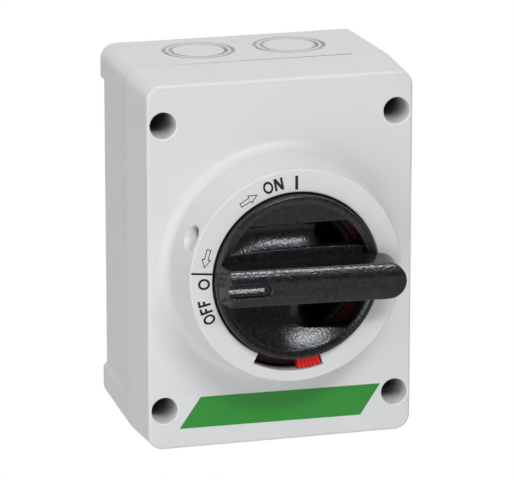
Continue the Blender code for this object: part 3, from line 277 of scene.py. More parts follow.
for side in (-1, 1):
    earth_bore = rod(EARTH_BORE, BACK_THICKNESS, EARTH_TOP + OVERCUT, side * EARTH_X, EARTH_Y, 24)
    shape(base, "DIFFERENCE", earth_bore)
    for side_y in (-1, 1):
        for diameter in KNOCKOUT_RINGS:
            shape(base, "DIFFERENCE", knockout_groove(diameter, side * KNOCKOUT_X, side_y * END_WALL))
finish_piece(base, light_grey, "enclosure", "light_grey_plastic", "base_box")

# Cover
# The front half of the enclosure, moulded in the same grey plastic: a drafted lid with rounded front edges,
# four deep screw wells and a tall conical collar round the handle. Four screws hold it to the base.
FRONT = 0.0696
LID_TAPER = 0.0010
LID_CAVITY_X = 0.0470
LID_CAVITY_Y = 0.0652
SKIRT_TOP = 0.0480
FRONT_EDGE = 0.0012
FRONT_WALL = 0.0025
ROOT = 0.0012
TOWER_RADIUS = 0.0058
WELL_RADIUS = 0.00485
WELL_MOUTH = 0.0054
WELL_FLOOR = 0.04695
PLATE_SCREW_CIRCLE = 0.0394
PLATE_SCREW_BORE = 0.0015
PLATE_SCREW_SPAN = (-0.0060, 0.0035)
COLLAR_TOP = 0.0203
COLLAR_RADIUS = 0.0392
COLLAR_EDGE = 0.0007
COLLAR_BORE = 0.0309
COLLAR_FOOT = 0.0456
COLLAR_FILLET = 0.0040
COLLAR_HOLLOW = 0.0366
COLLAR_HOLLOW_TOP = 0.0178
MOUTH_FLOOR = 0.0160
WINDOW_INNER = 0.0301
WINDOW_OUTER = 0.0350
WINDOW_START = -117.2
WINDOW_END = -73.2
WINDOW_LAP = 1.3
WINDOW_WALL_OUTER = 0.0370
WINDOW_WALL_LOW = 0.0148
WINDOW_WALL_TOP = 0.0179
POCKET_RADIUS = 0.0400
POCKET_LEVEL = 0.0144
POCKET_ANGLE = 157.9
POCKET_PROFILE = ((0, -0.0022), (0.0040, -0.0022), (0.0047, -0.0016), (0.0053, 0.0080), (0, 0.0080))
GROOVE_OUTER = 0.0023
GROOVE_INNER = 0.0002
GROOVE_FLOOR = 0.0449
SEAM_CHAMFER = 0.0010


def arc(x, y, radius, start, end, steps):
    points = []
    for i in range(steps + 1):
        angle = math.radians(start + (end - start) * i / steps)
        points.append((x + radius * math.cos(angle), y + radius * math.sin(angle)))
    return points


def sector(inner, outer, start, end, steps=24):
    return arc(0, 0, outer, start, end, steps) + arc(0, 0, inner, end, start, steps)


def seal_block(spread, low, high):
    """A block as wide as the base's cavity, spread outwards all round."""
    return block(CAVITY_X + spread, CAVITY_Y + spread, low, high, CAVITY_CORNER + spread, 6)


def scale_colour(material, factor):
    """Multiplies what feeds a material's colour by a node's value."""
    colour = material.node_tree.nodes["Principled BSDF"].inputs["Base Color"]
    shade = material.node_tree.nodes.new("ShaderNodeVectorMath")
    shade.operation = "SCALE"
    material.node_tree.links.new(colour.links[0].from_socket, shade.inputs[0])
    material.node_tree.links.new(factor, shade.inputs["Scale"])
    material.node_tree.links.new(shade.outputs["Vector"], colour)


def shade_by_depth(material, deep, shallow, dark, light, reach=None):
    """Paints shade and light into a plastic's colour by height above the wall, or only near the wells."""
    nodes = material.node_tree.nodes
    links = material.node_tree.links
    place = nodes["Texture Coordinate"].outputs["Object"]
    parts = nodes.new("ShaderNodeSeparateXYZ")
    links.new(place, parts.inputs["Vector"])
    level = nodes.new("ShaderNodeMapRange")
    level.inputs["From Min"].default_value = -deep
    level.inputs["From Max"].default_value = -shallow
    level.inputs["To Min"].default_value = dark - 1
    level.inputs["To Max"].default_value = light - 1
    links.new(parts.outputs["Y"], level.inputs["Value"])
    factor = nodes.new("ShaderNodeMath")
    factor.operation = "MULTIPLY_ADD"
    factor.inputs[1].default_value = 1.0
    factor.inputs[2].default_value = 1.0
    links.new(level.outputs["Result"], factor.inputs[0])
    if reach:
        quarter = nodes.new("ShaderNodeVectorMath")
        quarter.operation = "ABSOLUTE"
        links.new(place, quarter.inputs[0])
        offset = nodes.new("ShaderNodeVectorMath")
        offset.operation = "MULTIPLY_ADD"
        offset.inputs[1].default_value = (1, 0, 1)
        offset.inputs[2].default_value = (-SCREW_X, 0, -SCREW_Y)
        links.new(quarter.outputs["Vector"], offset.inputs[0])
        distance = nodes.new("ShaderNodeVectorMath")
        distance.operation = "LENGTH"
        links.new(offset.outputs["Vector"], distance.inputs[0])
        inside = nodes.new("ShaderNodeMath")
        inside.operation = "LESS_THAN"
        inside.inputs[1].default_value = reach
        links.new(distance.outputs["Value"], inside.inputs[0])
        links.new(inside.outputs["Value"], factor.inputs[1])
    scale_colour(material, factor.outputs["Value"])


def shade_round(material, centre, near, far, dark):
    """Paints a shadow into a plastic's colour, darker round a point."""
    nodes = material.node_tree.nodes
    distance = nodes.new("ShaderNodeVectorMath")
    distance.operation = "DISTANCE"
    distance.inputs[1].default_value = centre
    material.node_tree.links.new(nodes["Texture Coordinate"].outputs["Object"], distance.inputs[0])
    level = nodes.new("ShaderNodeMapRange")
    level.inputs["From Min"].default_value = near
    level.inputs["From Max"].default_value = far
    level.inputs["To Min"].default_value = dark
    material.node_tree.links.new(distance.outputs["Value"], level.inputs["Value"])
    scale_colour(material, level.outputs["Result"])


lid = block(HALF_WIDTH, HALF_HEIGHT, PARTING + PARTING_GAP / 2, FRONT, CORNER_RADIUS, 10)
for vert in lid.verts:
    if vert.co.z > (PARTING + FRONT) / 2:
        vert.co.x -= math.copysign(LID_TAPER, vert.co.x)
        vert.co.y -= math.copysign(LID_TAPER, vert.co.y)
front_rim = [e for e in lid.edges if all(v.co.z > (PARTING + FRONT) / 2 for v in e.verts)]
bmesh.ops.bevel(lid, geom=front_rim, offset=FRONT_EDGE, segments=5, profile=0.5, affect="EDGES", material=-1)
cover = add_shape("cover_shown", lid)
shape(cover, "DIFFERENCE", block(CAVITY_X, CAVITY_Y, PARTING - OVERCUT, SKIRT_TOP, CAVITY_CORNER, 5),
      block(LID_CAVITY_X, LID_CAVITY_Y, SKIRT_TOP - 0.0002, FRONT - FRONT_WALL, CAVITY_CORNER, 5))
for side_x, side_y in QUARTERS:
    tower = rod(TOWER_RADIUS, PARTING + PARTING_GAP, FRONT - ROOT, side_x * SCREW_X, side_y * SCREW_Y, 40)
    shape(cover, "UNION", tower)
foot = arc(COLLAR_FOOT, COLLAR_FILLET, COLLAR_FILLET, 270, 187, 12)
shoulder = arc(COLLAR_RADIUS - COLLAR_EDGE, COLLAR_TOP - COLLAR_EDGE, COLLAR_EDGE, 8, 90, 5)
collar = turned([(0, -ROOT), (COLLAR_FOOT, -ROOT)] + foot + shoulder + [(0, COLLAR_TOP)], 144)
shape(cover, "UNION", moved(collar, z=FRONT))
hollow = rod(COLLAR_HOLLOW, -2 * FRONT_WALL, COLLAR_HOLLOW_TOP, steps=144)
above = COLLAR_TOP + 0.0017
mouth_edge = COLLAR_BORE + 0.0004
mouth = turned([(0, MOUTH_FLOOR), (COLLAR_BORE, MOUTH_FLOOR), (COLLAR_BORE, COLLAR_TOP - 0.0003),
                (mouth_edge, COLLAR_TOP + 0.0001), (mouth_edge, above), (0, above)], 144)
window = prism(sector(WINDOW_INNER, WINDOW_OUTER, WINDOW_START, WINDOW_END, 32), MOUTH_FLOOR, above)
pocket = turned(POCKET_PROFILE, 64)
swung(swung(pocket, -9, "X"), 6, "Y")
swung(moved(swung(pocket, 90, "Y"), x=POCKET_RADIUS, z=POCKET_LEVEL), POCKET_ANGLE)
for cut in (hollow, mouth, window, pocket):
    shape(cover, "DIFFERENCE", moved(cut, z=FRONT))
for side_x, side_y in QUARTERS:
    x = side_x * SCREW_X
    y = side_y * SCREW_Y
    well = turned([(0, WELL_FLOOR), (WELL_RADIUS, WELL_FLOOR), (WELL_RADIUS, FRONT - 0.0006),
                   (WELL_RADIUS + 0.00015, FRONT - 0.0002), (WELL_MOUTH, FRONT + 0.0001),
                   (WELL_MOUTH, FRONT + OVERCUT), (0, FRONT + OVERCUT)], 48)
    shape(cover, "DIFFERENCE", moved(well, x, y), rod(SCREW_BORE, PARTING - OVERCUT, 0.0500, x, y, 24))
    hole = rod(PLATE_SCREW_BORE, *PLATE_SCREW_SPAN, x=PLATE_SCREW_CIRCLE, steps=20)
    shape(cover, "DIFFERENCE", moved(swung(hole, math.degrees(math.atan2(side_y, side_x))), z=FRONT))
window_wall = sector(WINDOW_OUTER + 0.00005, WINDOW_WALL_OUTER, WINDOW_START - WINDOW_LAP,
                     WINDOW_END + WINDOW_LAP, 32)
shape(cover, "UNION", moved(prism(window_wall, WINDOW_WALL_LOW, WINDOW_WALL_TOP), z=FRONT))
groove = add_shape("groove", seal_block(GROOVE_OUTER, PARTING - OVERCUT, GROOVE_FLOOR))
land = seal_block(GROOVE_INNER, PARTING - 2 * OVERCUT, GROOVE_FLOOR + OVERCUT)
shape(cover, "DIFFERENCE", shape(groove, "DIFFERENCE", land))
for turn in (0, 180):
    top = -PARTING - SEAM_CHAMFER
    outside = HALF_HEIGHT + 0.0004
    outline = ((top, outside), (top, HALF_HEIGHT - 0.00002), (-PARTING, HALF_HEIGHT - 0.00035),
               (-PARTING, outside))
    chamfer = prism(outline, -END_PANEL_HALF, END_PANEL_HALF)
    shape(cover, "DIFFERENCE", swung(swung(chamfer, 90, "Y"), turn))
# The cover gets its own copy of the grey plastic, so that shade can be painted into it.
cover_grey_painted_shade = light_grey.copy()
cover_grey_painted_shade.name = "light grey cover plastic"
# Painted shade in the four screw wells: the colour darkens deep inside them and is painted lighter near their
# mouths.
shade_by_depth(cover_grey_painted_shade, deep=FRONT - 0.0190, shallow=FRONT - 0.0030, dark=0.25, light=1.25, reach=0.0052)
# Painted shadow in the pocket on the collar's flank: the colour darkens round a point at its deep upper side.
shadow_x, shadow_z = arc(0, 0, 0.0369, 152.6, 0, 1)[0]
shade_round(cover_grey_painted_shade, (shadow_x, -FRONT - 0.0130, shadow_z), near=0.0017, far=0.0038, dark=0.12)
finish_piece(cover, cover_grey_painted_shade, "enclosure", "light_grey_plastic", "cover")

# Gasket and painted seam shade
# A closed cord of black rubber in the cover's groove, pressed on the base's rim. It stays the CAD solid.
# A thin strip of the same rubber is added in the seam along the flat end walls as painted shade: it stands
# for the shadow line in the seam there.
SEAM_SHADE_HALF = 0.0345
SEAM_SHADE_ROOT = 0.0676
SEAM_SHADE_RIGHT_EDGE = 0.06846
SEAM_SHADE_LEFT_EDGE = 0.06835
SEAM_SHADE_RISE = 0.00012
black_rubber = moulded_plastic("black rubber", (0.016, 0.016, 0.017), roughness=0.75, grain=0.0004,
                               depth=0.00002, mottle=0.10, specular=0.3)


def dress(material, *names):
    """Gives CAD nodes that keep their shape a finish."""
    for name in names:
        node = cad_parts[name]
        node.data.materials.clear()
        node.data.materials.append(material)


dress(black_rubber, "cover_gasket", "shaft_seal")
# Painted shade: a dark rubber strip in the seam along each flat end wall stands for the shadow line there.
for number, turn in enumerate((0, 180)):
    outline = ((-SEAM_SHADE_HALF, SEAM_SHADE_ROOT), (SEAM_SHADE_HALF, SEAM_SHADE_ROOT), (SEAM_SHADE_HALF, SEAM_SHADE_RIGHT_EDGE),
               (-SEAM_SHADE_HALF, SEAM_SHADE_LEFT_EDGE))
    seam_shade = prism(outline, PARTING - SEAM_SHADE_RISE, PARTING + SEAM_SHADE_RISE)
    seam_shade_shape = add_shape(f"seam_shade_strip_{number + 1}", swung(seam_shade, turn))
    finish_piece(seam_shade_shape, black_rubber, "enclosure", "black_rubber")

# Cover screws
# Four zinc-plated steel screws with pan heads and cross recesses, cold formed. They stand on the floors of
# the cover's wells and hold it to the base's bosses.
SCREW_SEAT = WELL_FLOOR + PARTING_GAP
SHANK_END = -0.0180
SHANK_RADIUS = 0.0018
SHANK_TAPER = 0.0004
HEAD_RADIUS = 0.0036
HEAD_HEIGHT = 0.0031
HEAD_CROWN = 0.0001
HEAD_ROUND = 0.0012
RECESS_HALF_LENGTH = 0.0021
RECESS_HALF_WIDTH = 0.0004
RECESS_FLOOR = 0.0012


def plated_metal(name, colour, roughness):
    """Plated or rolled metal: fine directional streaks in its gloss and slight unevenness."""
    material = bpy.data.materials.new(name)
    material.use_nodes = True
    nodes = material.node_tree.nodes
    links = material.node_tree.links
    shader = nodes["Principled BSDF"]
    shader.inputs["Metallic"].default_value = 1.0
    place = nodes.new("ShaderNodeTexCoord")
    stretch = nodes.new("ShaderNodeMapping")
    stretch.inputs["Scale"].default_value = (2500.0, 400.0, 2500.0)
    links.new(place.outputs["Object"], stretch.inputs["Vector"])
    streaks = nodes.new("ShaderNodeTexNoise")
    streaks.inputs["Scale"].default_value = 1.0
    streaks.inputs["Detail"].default_value = 4.0
    links.new(stretch.outputs["Vector"], streaks.inputs["Vector"])
    gloss = nodes.new("ShaderNodeMapRange")
    gloss.inputs["To Min"].default_value = roughness - 0.08
    gloss.inputs["To Max"].default_value = roughness + 0.10
    links.new(streaks.outputs["Fac"], gloss.inputs["Value"])
    links.new(gloss.outputs["Result"], shader.inputs["Roughness"])
    tint = nodes.new("ShaderNodeValToRGB")
    tint.color_ramp.elements[0].color = (*[c * 0.86 for c in colour], 1)
    tint.color_ramp.elements[1].color = (*[min(1.0, c * 1.08) for c in colour], 1)
    links.new(streaks.outputs["Fac"], tint.inputs["Fac"])
    links.new(tint.outputs["Color"], shader.inputs["Base Color"])
    bump = nodes.new("ShaderNodeBump")
    bump.inputs["Strength"].default_value = 0.6
    bump.inputs["Distance"].default_value = 0.00001
    links.new(streaks.outputs["Fac"], bump.inputs["Height"])
    links.new(bump.outputs["Normal"], shader.inputs["Normal"])
    return material


zinc_steel = plated_metal("zinc-plated steel", (0.20, 0.20, 0.19), roughness=0.40)
for number, (side_x, side_y) in enumerate(QUARTERS):
    shank = [(0, SHANK_END), (SHANK_RADIUS - SHANK_TAPER, SHANK_END),
             (SHANK_RADIUS, SHANK_END + 2 * SHANK_TAPER), (SHANK_RADIUS, 0)]
    dome = arc(HEAD_RADIUS - HEAD_ROUND, HEAD_HEIGHT - HEAD_CROWN - HEAD_ROUND, HEAD_ROUND, 0, 90, 4)
    screw_body = turned(shank + [(HEAD_RADIUS, 0)] + dome + [(0, HEAD_HEIGHT)], 32)
    screw = add_shape(f"cover_screw_{number + 1}_shown", screw_body)
    for turn in (35, 125):
        recess = block(RECESS_HALF_LENGTH, RECESS_HALF_WIDTH, RECESS_FLOOR, HEAD_HEIGHT + OVERCUT)
        shape(screw, "DIFFERENCE", swung(recess, turn))
    screw.data.transform(Matrix.Translation((side_x * SCREW_X, side_y * SCREW_Y, SCREW_SEAT)))
    finish_piece(screw, zinc_steel, "enclosure", "zinc_plated_steel", f"cover_screw_{number + 1}")

# Marks on the collar
# Black printing on the collar's flat face: I and O for the two positions, their words, two outlined arrows
# and a line across the ring. The print is a film of ink on the plastic.
INK = 0.00004
INK_LEVEL = FRONT + COLLAR_TOP
WORD_RADIUS = 0.0348
LETTER_HEIGHT = 0.0045
LETTER_STROKE = 0.00085
ROUND_STROKE = 0.00090
ARROW = {"shaft": 0.0014, "head": 0.0031, "neck": 0.0029, "stroke": 0.00030}
black_ink = moulded_plastic("black print", (0.012, 0.012, 0.013), roughness=0.5, grain=0.0003,
                            depth=0.000004, mottle=0.05, specular=0.3)


def printed(name, bm):
    finish_piece(add_shape(name, bm), black_ink, "enclosure", "black_plastic")


def on_ring(bm, angle, radius, turn=0.0):
    """Puts a mark on the collar's face, with its top towards the rim, then turned."""
    swung(bm, angle - 90 + turn)
    x, y = arc(0, 0, radius, angle, 0, 1)[0]
    return moved(bm, x, y, INK_LEVEL)


def letter_o(width, height, stroke):
    """An oval ring, centred on the origin."""
    half = height / 2
    ring = turned([(half, 0), (half, INK), (half - stroke, INK), (half - stroke, 0)], 48)
    bmesh.ops.scale(ring, vec=(width / height, 1, 1), verts=ring.verts)
    return ring


def letter_n(width, height, stroke):
    x = width / 2
    y = height / 2
    slant = stroke * 1.15
    notch = y - 1.9 * slant
    outline = [(-x, -y), (-x + stroke, -y), (-x + stroke, notch), (x - slant, -y), (x, -y), (x, y),
               (x - stroke, y), (x - stroke, -notch), (-x + slant, y), (-x, y)]
    return prism(outline, 0, INK)


def letter_f(width, height, stroke):
    x = width / 2
    y = height / 2
    arm = x - 0.2 * width
    outline = [(-x, -y), (-x + stroke, -y), (-x + stroke, -stroke / 2), (arm, -stroke / 2), (arm, stroke / 2),
               (-x + stroke, stroke / 2), (-x + stroke, y - stroke), (x, y - stroke), (x, y), (-x, y)]
    return prism(outline, 0, INK)


def arrow_outline(length, shaft, head, neck, stroke):
    """A block arrow pointing left, drawn as a thin line round its outline."""
    tip = -length / 2
    points = [(tip, 0), (tip + neck, -head / 2), (tip + neck, -shaft / 2), (length / 2, -shaft / 2),
              (length / 2, shaft / 2), (tip + neck, shaft / 2), (tip + neck, head / 2)]
    whole = bmesh.new()
    for (x0, y0), (x1, y1) in zip(points, points[1:] + points[:1]):
        line = block((math.hypot(x1 - x0, y1 - y0) + stroke) / 2, stroke / 2, 0, INK)
        moved(swung(line, math.degrees(math.atan2(y1 - y0, x1 - x0))), (x0 + x1) / 2, (y0 + y1) / 2)
        mesh = bpy.data.meshes.new("line")
        line.to_mesh(mesh)
        whole.from_mesh(mesh)
    return whole


printed("mark_on_bar", on_ring(block(0.00052, 0.00255, 0, INK), 90, 0.03435))
printed("mark_letter_o", on_ring(letter_o(0.0037, 0.0046, ROUND_STROKE), 107.5, WORD_RADIUS))
printed("mark_letter_n", on_ring(letter_n(0.0033, LETTER_HEIGHT, LETTER_STROKE), 100.9, WORD_RADIUS))
printed("mark_arrow_on", on_ring(arrow_outline(0.0068, **ARROW), 121.1, 0.0340, turn=180))
printed("mark_arrow_off", on_ring(arrow_outline(0.0066, **ARROW), 164.9, 0.0342))
printed("mark_off_line", on_ring(block(0.00036, 0.00385, 0, INK), 174.4, 0.03495))
printed("mark_off_ring", on_ring(letter_o(0.0041, 0.0044, LETTER_STROKE), 180.8, 0.0340, turn=-6))
printed("mark_letter_off_1", on_ring(letter_o(0.0036, LETTER_HEIGHT, ROUND_STROKE), -157.2, WORD_RADIUS))
printed("mark_letter_off_2", on_ring(letter_f(0.0024, LETTER_HEIGHT, LETTER_STROKE), -163.0, WORD_RADIUS))
printed("mark_letter_off_3", on_ring(letter_f(0.0024, LETTER_HEIGHT, LETTER_STROKE), -167.6, WORD_RADIUS))

# Label
# A slanted strip of green vinyl, cut from sheet and stuck flat on the cover below the collar. It is a tenth
# of a millimetre thick.
LABEL_OUTLINE = ((-0.02995, -0.04866), (-0.03787, -0.06008), (0.03030, -0.06057), (0.03778, -0.04925))
LABEL_THICKNESS = 0.0001
green_vinyl = moulded_plastic("green vinyl", (0.018, 0.238, 0.024), roughness=0.38, grain=0.0006,
                              depth=0.000006, mottle=0.03)
strip = prism(LABEL_OUTLINE, FRONT, FRONT + LABEL_THICKNESS)
finish_piece(add_shape("label", strip), green_vinyl, "enclosure", "light_grey_plastic")

# Bearing plate and spindle
# Matt black plastic mouldings behind the collar that carry the handle and the lock ring. They show only as
# the floor of the padlock openings, so they stay the CAD solids.
matt_black = moulded_plastic("black matt plastic", (0.0100, 0.0100, 0.0110), roughness=0.65, grain=0.0004,
                             depth=0.00002, mottle=0.10, specular=0.1)
dress(matt_black, "bearing_plate", "handle_spindle")

# Lock ring
# A ring moulded in red plastic that turns under the handle's rim, on the bearing plate. Its ridged finger tab
# stands in the collar's window; the rest lies in the dark of the padlock openings, with painted shade on it.
RING_INNER = 0.0247
RING_OUTER = 0.0346
RING_LOW = 0.0116
RING_HIGH = 0.0142
RING_EDGE = 0.0002
TAB_START = -88.45
TAB_END = -73.95
TAB_INNER = 0.0313
TAB_OUTER = 0.0343
TAB_ROOT = 0.0130
TAB_TOP = 0.0188
RIDGES = 6
RIDGE_CIRCLE = 0.03285
RIDGE_HALF_LENGTH = 0.0017
RIDGE_HALF_WIDTH = 0.00056
RIDGE_ROOT = 0.0150
RIDGE_TOP = 0.0193
RIDGE_EDGE = 0.00035
red_plastic = moulded_plastic("red plastic", (0.80, 0.018, 0.015), roughness=0.38, grain=0.0005,
                              depth=0.00001, mottle=0.03, specular=0.25)
# Painted shade: the red darkens almost to black below the tab's level, in the window and the padlock
# openings.
shade_by_depth(red_plastic, deep=FRONT + 0.0145, shallow=FRONT + 0.0165, dark=0.03, light=1.0)
flange = turned([(RING_INNER, RING_LOW), (RING_OUTER, RING_LOW), (RING_OUTER, RING_HIGH - RING_EDGE),
                 (RING_OUTER - RING_EDGE, RING_HIGH), (RING_INNER + RING_EDGE, RING_HIGH),
                 (RING_INNER, RING_HIGH - RING_EDGE)], 144)
ring = add_shape("lock_ring_shown", flange)
shape(ring, "UNION", prism(sector(TAB_INNER, TAB_OUTER, TAB_START, TAB_END), TAB_ROOT, TAB_TOP))
pitch = (TAB_END - TAB_START) / RIDGES
for number in range(RIDGES):
    middle = TAB_START + pitch * (number + 0.5)
    ridge = block(RIDGE_HALF_LENGTH, RIDGE_HALF_WIDTH, RIDGE_ROOT, RIDGE_TOP)
    long_edges = [e for e in ridge.edges if abs(e.verts[0].co.x - e.verts[1].co.x) > RIDGE_HALF_LENGTH
                  and e.verts[0].co.z > RIDGE_ROOT + 0.001]
    bmesh.ops.bevel(ridge, geom=long_edges, offset=RIDGE_EDGE, segments=3, profile=0.5, affect="EDGES",
                    material=-1)
    shape(ring, "UNION", swung(moved(ridge, x=RIDGE_CIRCLE), middle))
ring.data.transform(Matrix.Translation((0, 0, FRONT)))
finish_piece(ring, red_plastic, "lock_ring", "red_plastic", "lock_ring")

# Handle
# A black grained plastic moulding: a dished disc with a raised rim, a bar lever across it that overhangs
# the collar at the right, a finger trough above, a bowl below and two openings for padlock shackles.
HANDLE_RADIUS = 0.0301
HUB_RADIUS = 0.0218
HUB_FOOT = 0.0050
RIM_UNDERSIDE = 0.0149
RIM_SWELL = 0.03055
RIM_SWELL_LEVEL = 0.0196
RIM_EDGE = 0.0007
RIM_TOP = 0.0234
DISH_LEVEL = 0.0230
DISH_RADIUS = 0.0270
LEDGE_LEVEL = 0.0195
LEDGE_HALF = 0.0093
TROUGH_FAR = 0.0202
HOLLOW_TOP = 0.0260
BAR_LEFT = 0.0271
BAR_TIP = 0.0361
BAR_HALF = 0.0064
BAR_FOOT = 0.0070
BAR_LOW = 0.0325
BAR_RISE = 0.0040
BAR_EDGE = 0.0005
SLOT_X = -0.0150
SLOT_Y = -0.00085
SLOT_ROOT = 0.0016
black_plastic = moulded_plastic("black grained plastic", (0.0095, 0.0097, 0.0110), roughness=0.17,
                                grain=0.00066, depth=0.000085, mottle=0.70, specular=0.46, detail=1.2,
                                patch=0.0014)
black_shader = black_plastic.node_tree.nodes["Principled BSDF"]
black_shader.inputs["Specular Tint"].default_value = (0.92, 0.96, 1.0, 1.0)


def lofted(rings):
    """A closed body through rings of as many points each."""
    bm = bmesh.new()
    loops = [[bm.verts.new(point) for point in ring] for ring in rings]
    for low, high in zip(loops, loops[1:]):
        for i, vert in enumerate(low):
            bm.faces.new((low[i - 1], vert, high[i], high[i - 1]))
    bm.faces.new(loops[0])
    bm.faces.new(loops[-1])
    bmesh.ops.recalc_face_normals(bm, faces=bm.faces)
    return bm


def bar_front(x):
    """Height of the bar's sloping front."""
    return BAR_LOW + BAR_RISE * (x + BAR_LEFT) / (BAR_TIP + BAR_LEFT)


def lever():
    """The bar: a facet down to the rim at the left, round at the right, with a crowned, softened front."""
    centre = BAR_TIP - BAR_HALF
    reach = 0.0298
    root = DISH_LEVEL - 0.0002
    over = 0.001
    foot = []
    front = []
    for i in range(9):
        y = 1 - i / 4
        foot.append((-math.sqrt(reach ** 2 - (y * BAR_FOOT) ** 2), y * BAR_FOOT, root))
        front.append((-BAR_LEFT, y * BAR_HALF, bar_front(-BAR_LEFT) + over))
    foot += [(x, y, root) for x, y in arc(centre, 0, BAR_FOOT, -90, 90, 24)]
    front += [(x, y, bar_front(x) + over) for x, y in arc(centre, 0, BAR_HALF, -90, 90, 24)]
    rings = []
    falls = ((0.0100, 3.694), (0.0057, 1.329), (0.00505, 1.001), (0.0044, 0.698), (0.0037, 0.408),
             (0.0030, 0.180), (0.0023, 0.043), (0.0016, 0.002), (-0.0030, 0), (-0.0100, 0.30))
    for x, crown in ((-0.045, 0.00110), (0.045, 0.00073)):
        ring = [(x, -0.010, 0), (x, 0.010, 0)]
        ring += [(x, y, bar_front(x) - crown * fall) for y, fall in falls]
        rings.append(ring)
    bar = shape(add_shape("bar", lofted([foot, front])), "INTERSECT", lofted(rings))
    bm = bmesh.new()
    bm.from_mesh(bar.data)
    bpy.data.objects.remove(bar)
    soft = [e for e in bm.edges if e.calc_face_angle() > 0.7
            and max(v.co.z for v in e.verts) > DISH_LEVEL + 0.005]
    bmesh.ops.bevel(bm, geom=soft, offset=BAR_EDGE, segments=3, profile=0.5, affect="EDGES", material=-1)
    return bm


def ledge():
    """The bar's plinth, bowed a little along its sides, with a softened upper edge."""
    half_length = 0.0275
    bow = 0.0008
    root = 0.0152
    edge = 0.0004
    side = []
    for i in range(17):
        share = 1 - i / 8
        side.append((share * half_length, LEDGE_HALF + bow * (1 - share * share)))
    bm = prism(side + [(x, -y) for x, y in reversed(side)], root, LEDGE_LEVEL)
    top = [e for e in bm.edges if all(v.co.z > LEDGE_LEVEL - 0.001 for v in e.verts)]
    bmesh.ops.bevel(bm, geom=top, offset=edge, segments=3, profile=0.5, affect="EDGES", material=-1)
    return bm


def trough():
    """The finger trough above the bar, rising at its left end and diving at its right end."""
    near = LEDGE_HALF - 0.0006
    deep = 0.0170
    fall = 0.0037
    far_rise = 0.0024
    section = [(near + (deep - near) * i / 16, fall * (1 - i / 16) ** 2) for i in range(17)]
    section += [(deep + (TROUGH_FAR - deep) * math.sin(turn), far_rise * (1 - math.cos(turn)))
                for turn in (math.pi * i / 16 for i in range(1, 9))]
    rings = []
    for i in range(49):
        x = HANDLE_RADIUS * (i / 24 - 1)
        left_run = min(1.0, max(0.0, -0.0095 - x) / 0.0175)
        right_run = min(1.0, max(0.0, x - 0.0030) / 0.010)
        depth = 1 - 0.9 * left_run ** 2
        dive = 0.0035 * right_run ** 2
        ring = [(x, TROUGH_FAR, HOLLOW_TOP), (x, -0.0006, HOLLOW_TOP), (x, -0.0006, LEDGE_LEVEL - 0.0003)]
        ring += [(x, y, LEDGE_LEVEL - (fall - z) * (depth + dive / fall)) for y, z in section]
        rings.append(ring)
    whole = add_shape("trough", lofted(rings))
    return shape(whole, "INTERSECT", rod(DISH_RADIUS - 0.0001, 0, 0.05, steps=144))


def bowl():
    """The turned hollow below the bar, kept to the lower half."""
    near = LEDGE_HALF - 0.0006
    edge = DISH_RADIUS - 0.00005
    floor = 0.0165
    rise = 0.0065
    profile = [(0, floor), (near, floor)]
    for i in range(1, 17):
        share = i / 16
        profile.append((near + (edge - near) * share, floor + rise * share * share))
    whole = add_shape("bowl", turned(profile + [(edge, HOLLOW_TOP), (0, HOLLOW_TOP)], 144))
    return shape(whole, "INTERSECT", moved(block(0.0320, 0.0160, 0, 0.05), y=-0.0160))


def padlock_opening(side, left, round_length, flares):
    """The opening for shackles: rounded and flared at the left, along the rim at the right."""
    near = LEDGE_HALF - 0.0008
    far = TROUGH_FAR - 0.0003
    edge = DISH_RADIUS - 0.0002
    middle = (near + far) / 2
    right = arc(0, 0, edge, math.degrees(math.asin(near / edge)), math.degrees(math.asin(far / edge)), 16)
    rings = []
    levels = [(0.0026, 0.0070, 0.0040)]
    for level, flare in flares:
        levels.append((level, left + 0.0012 - flare, round_length))
    for level, start, length in levels:
        ring = list(right)
        for x, y in arc(0, 0, 1, 90, 270, 28):
            ring.append((start + length * (1 + x), middle + (far - middle) * y))
        rings.append([(x, side * y, level) for x, y in ring])
    return lofted(rings)


edge = arc(HANDLE_RADIUS - RIM_EDGE, RIM_TOP - RIM_EDGE, RIM_EDGE, 0, 90, 4)
inner_edge = []
for i in range(7):
    share = i / 6
    drop = (RIM_TOP - DISH_LEVEL) * (1 - math.cos(math.pi * share)) / 2
    inner_edge.append((DISH_RADIUS + 0.0018 * (1 - share), RIM_TOP - drop))
underside = [(0, HUB_FOOT), (HUB_RADIUS, HUB_FOOT), (HUB_RADIUS, RIM_UNDERSIDE),
             (HANDLE_RADIUS, RIM_UNDERSIDE), (RIM_SWELL, RIM_SWELL_LEVEL)]
disc = turned(underside + edge + inner_edge + [(0, DISH_LEVEL)], 144)
handle = add_shape("handle", disc)
passage = moved(block(half_x=0.0118, half_y=0.0101, low=0.0036, high=0.0135), x=0.0208)
upper_flares = ((0.0090, 0), (0.0108, 0.0003), (0.0122, 0.0008), (0.0133, 0.0016), (0.0140, 0.0026),
                (0.0258, 0.0026))
lower_flares = ((0.0110, 0), (0.0130, 0.0007), (0.0145, 0.0017), (0.0155, 0.0029), (0.0161, 0.0042),
                (0.0165, 0.0056), (0.0168, 0.0070), (0.0258, 0.0070))
lower_opening = padlock_opening(-1, left=0.0041, round_length=0.0080, flares=lower_flares)
upper_opening = padlock_opening(1, left=0.0092, round_length=0.0050, flares=upper_flares)
shape(handle, "DIFFERENCE", lower_opening, upper_opening, trough(), bowl(), passage)
for start in (26.0, -47.0):
    undercut = sector(inner=0.0239, outer=0.0289, start=start, end=start + 21.0)
    shape(handle, "DIFFERENCE", prism(undercut, low=0.0120, high=0.0214))
core = block(half_x=0.0280, half_y=BAR_FOOT - 0.0001, low=0.0155, high=DISH_LEVEL + 0.0003)
shape(handle, "UNION", ledge(), core, lever())
slot_rings = []
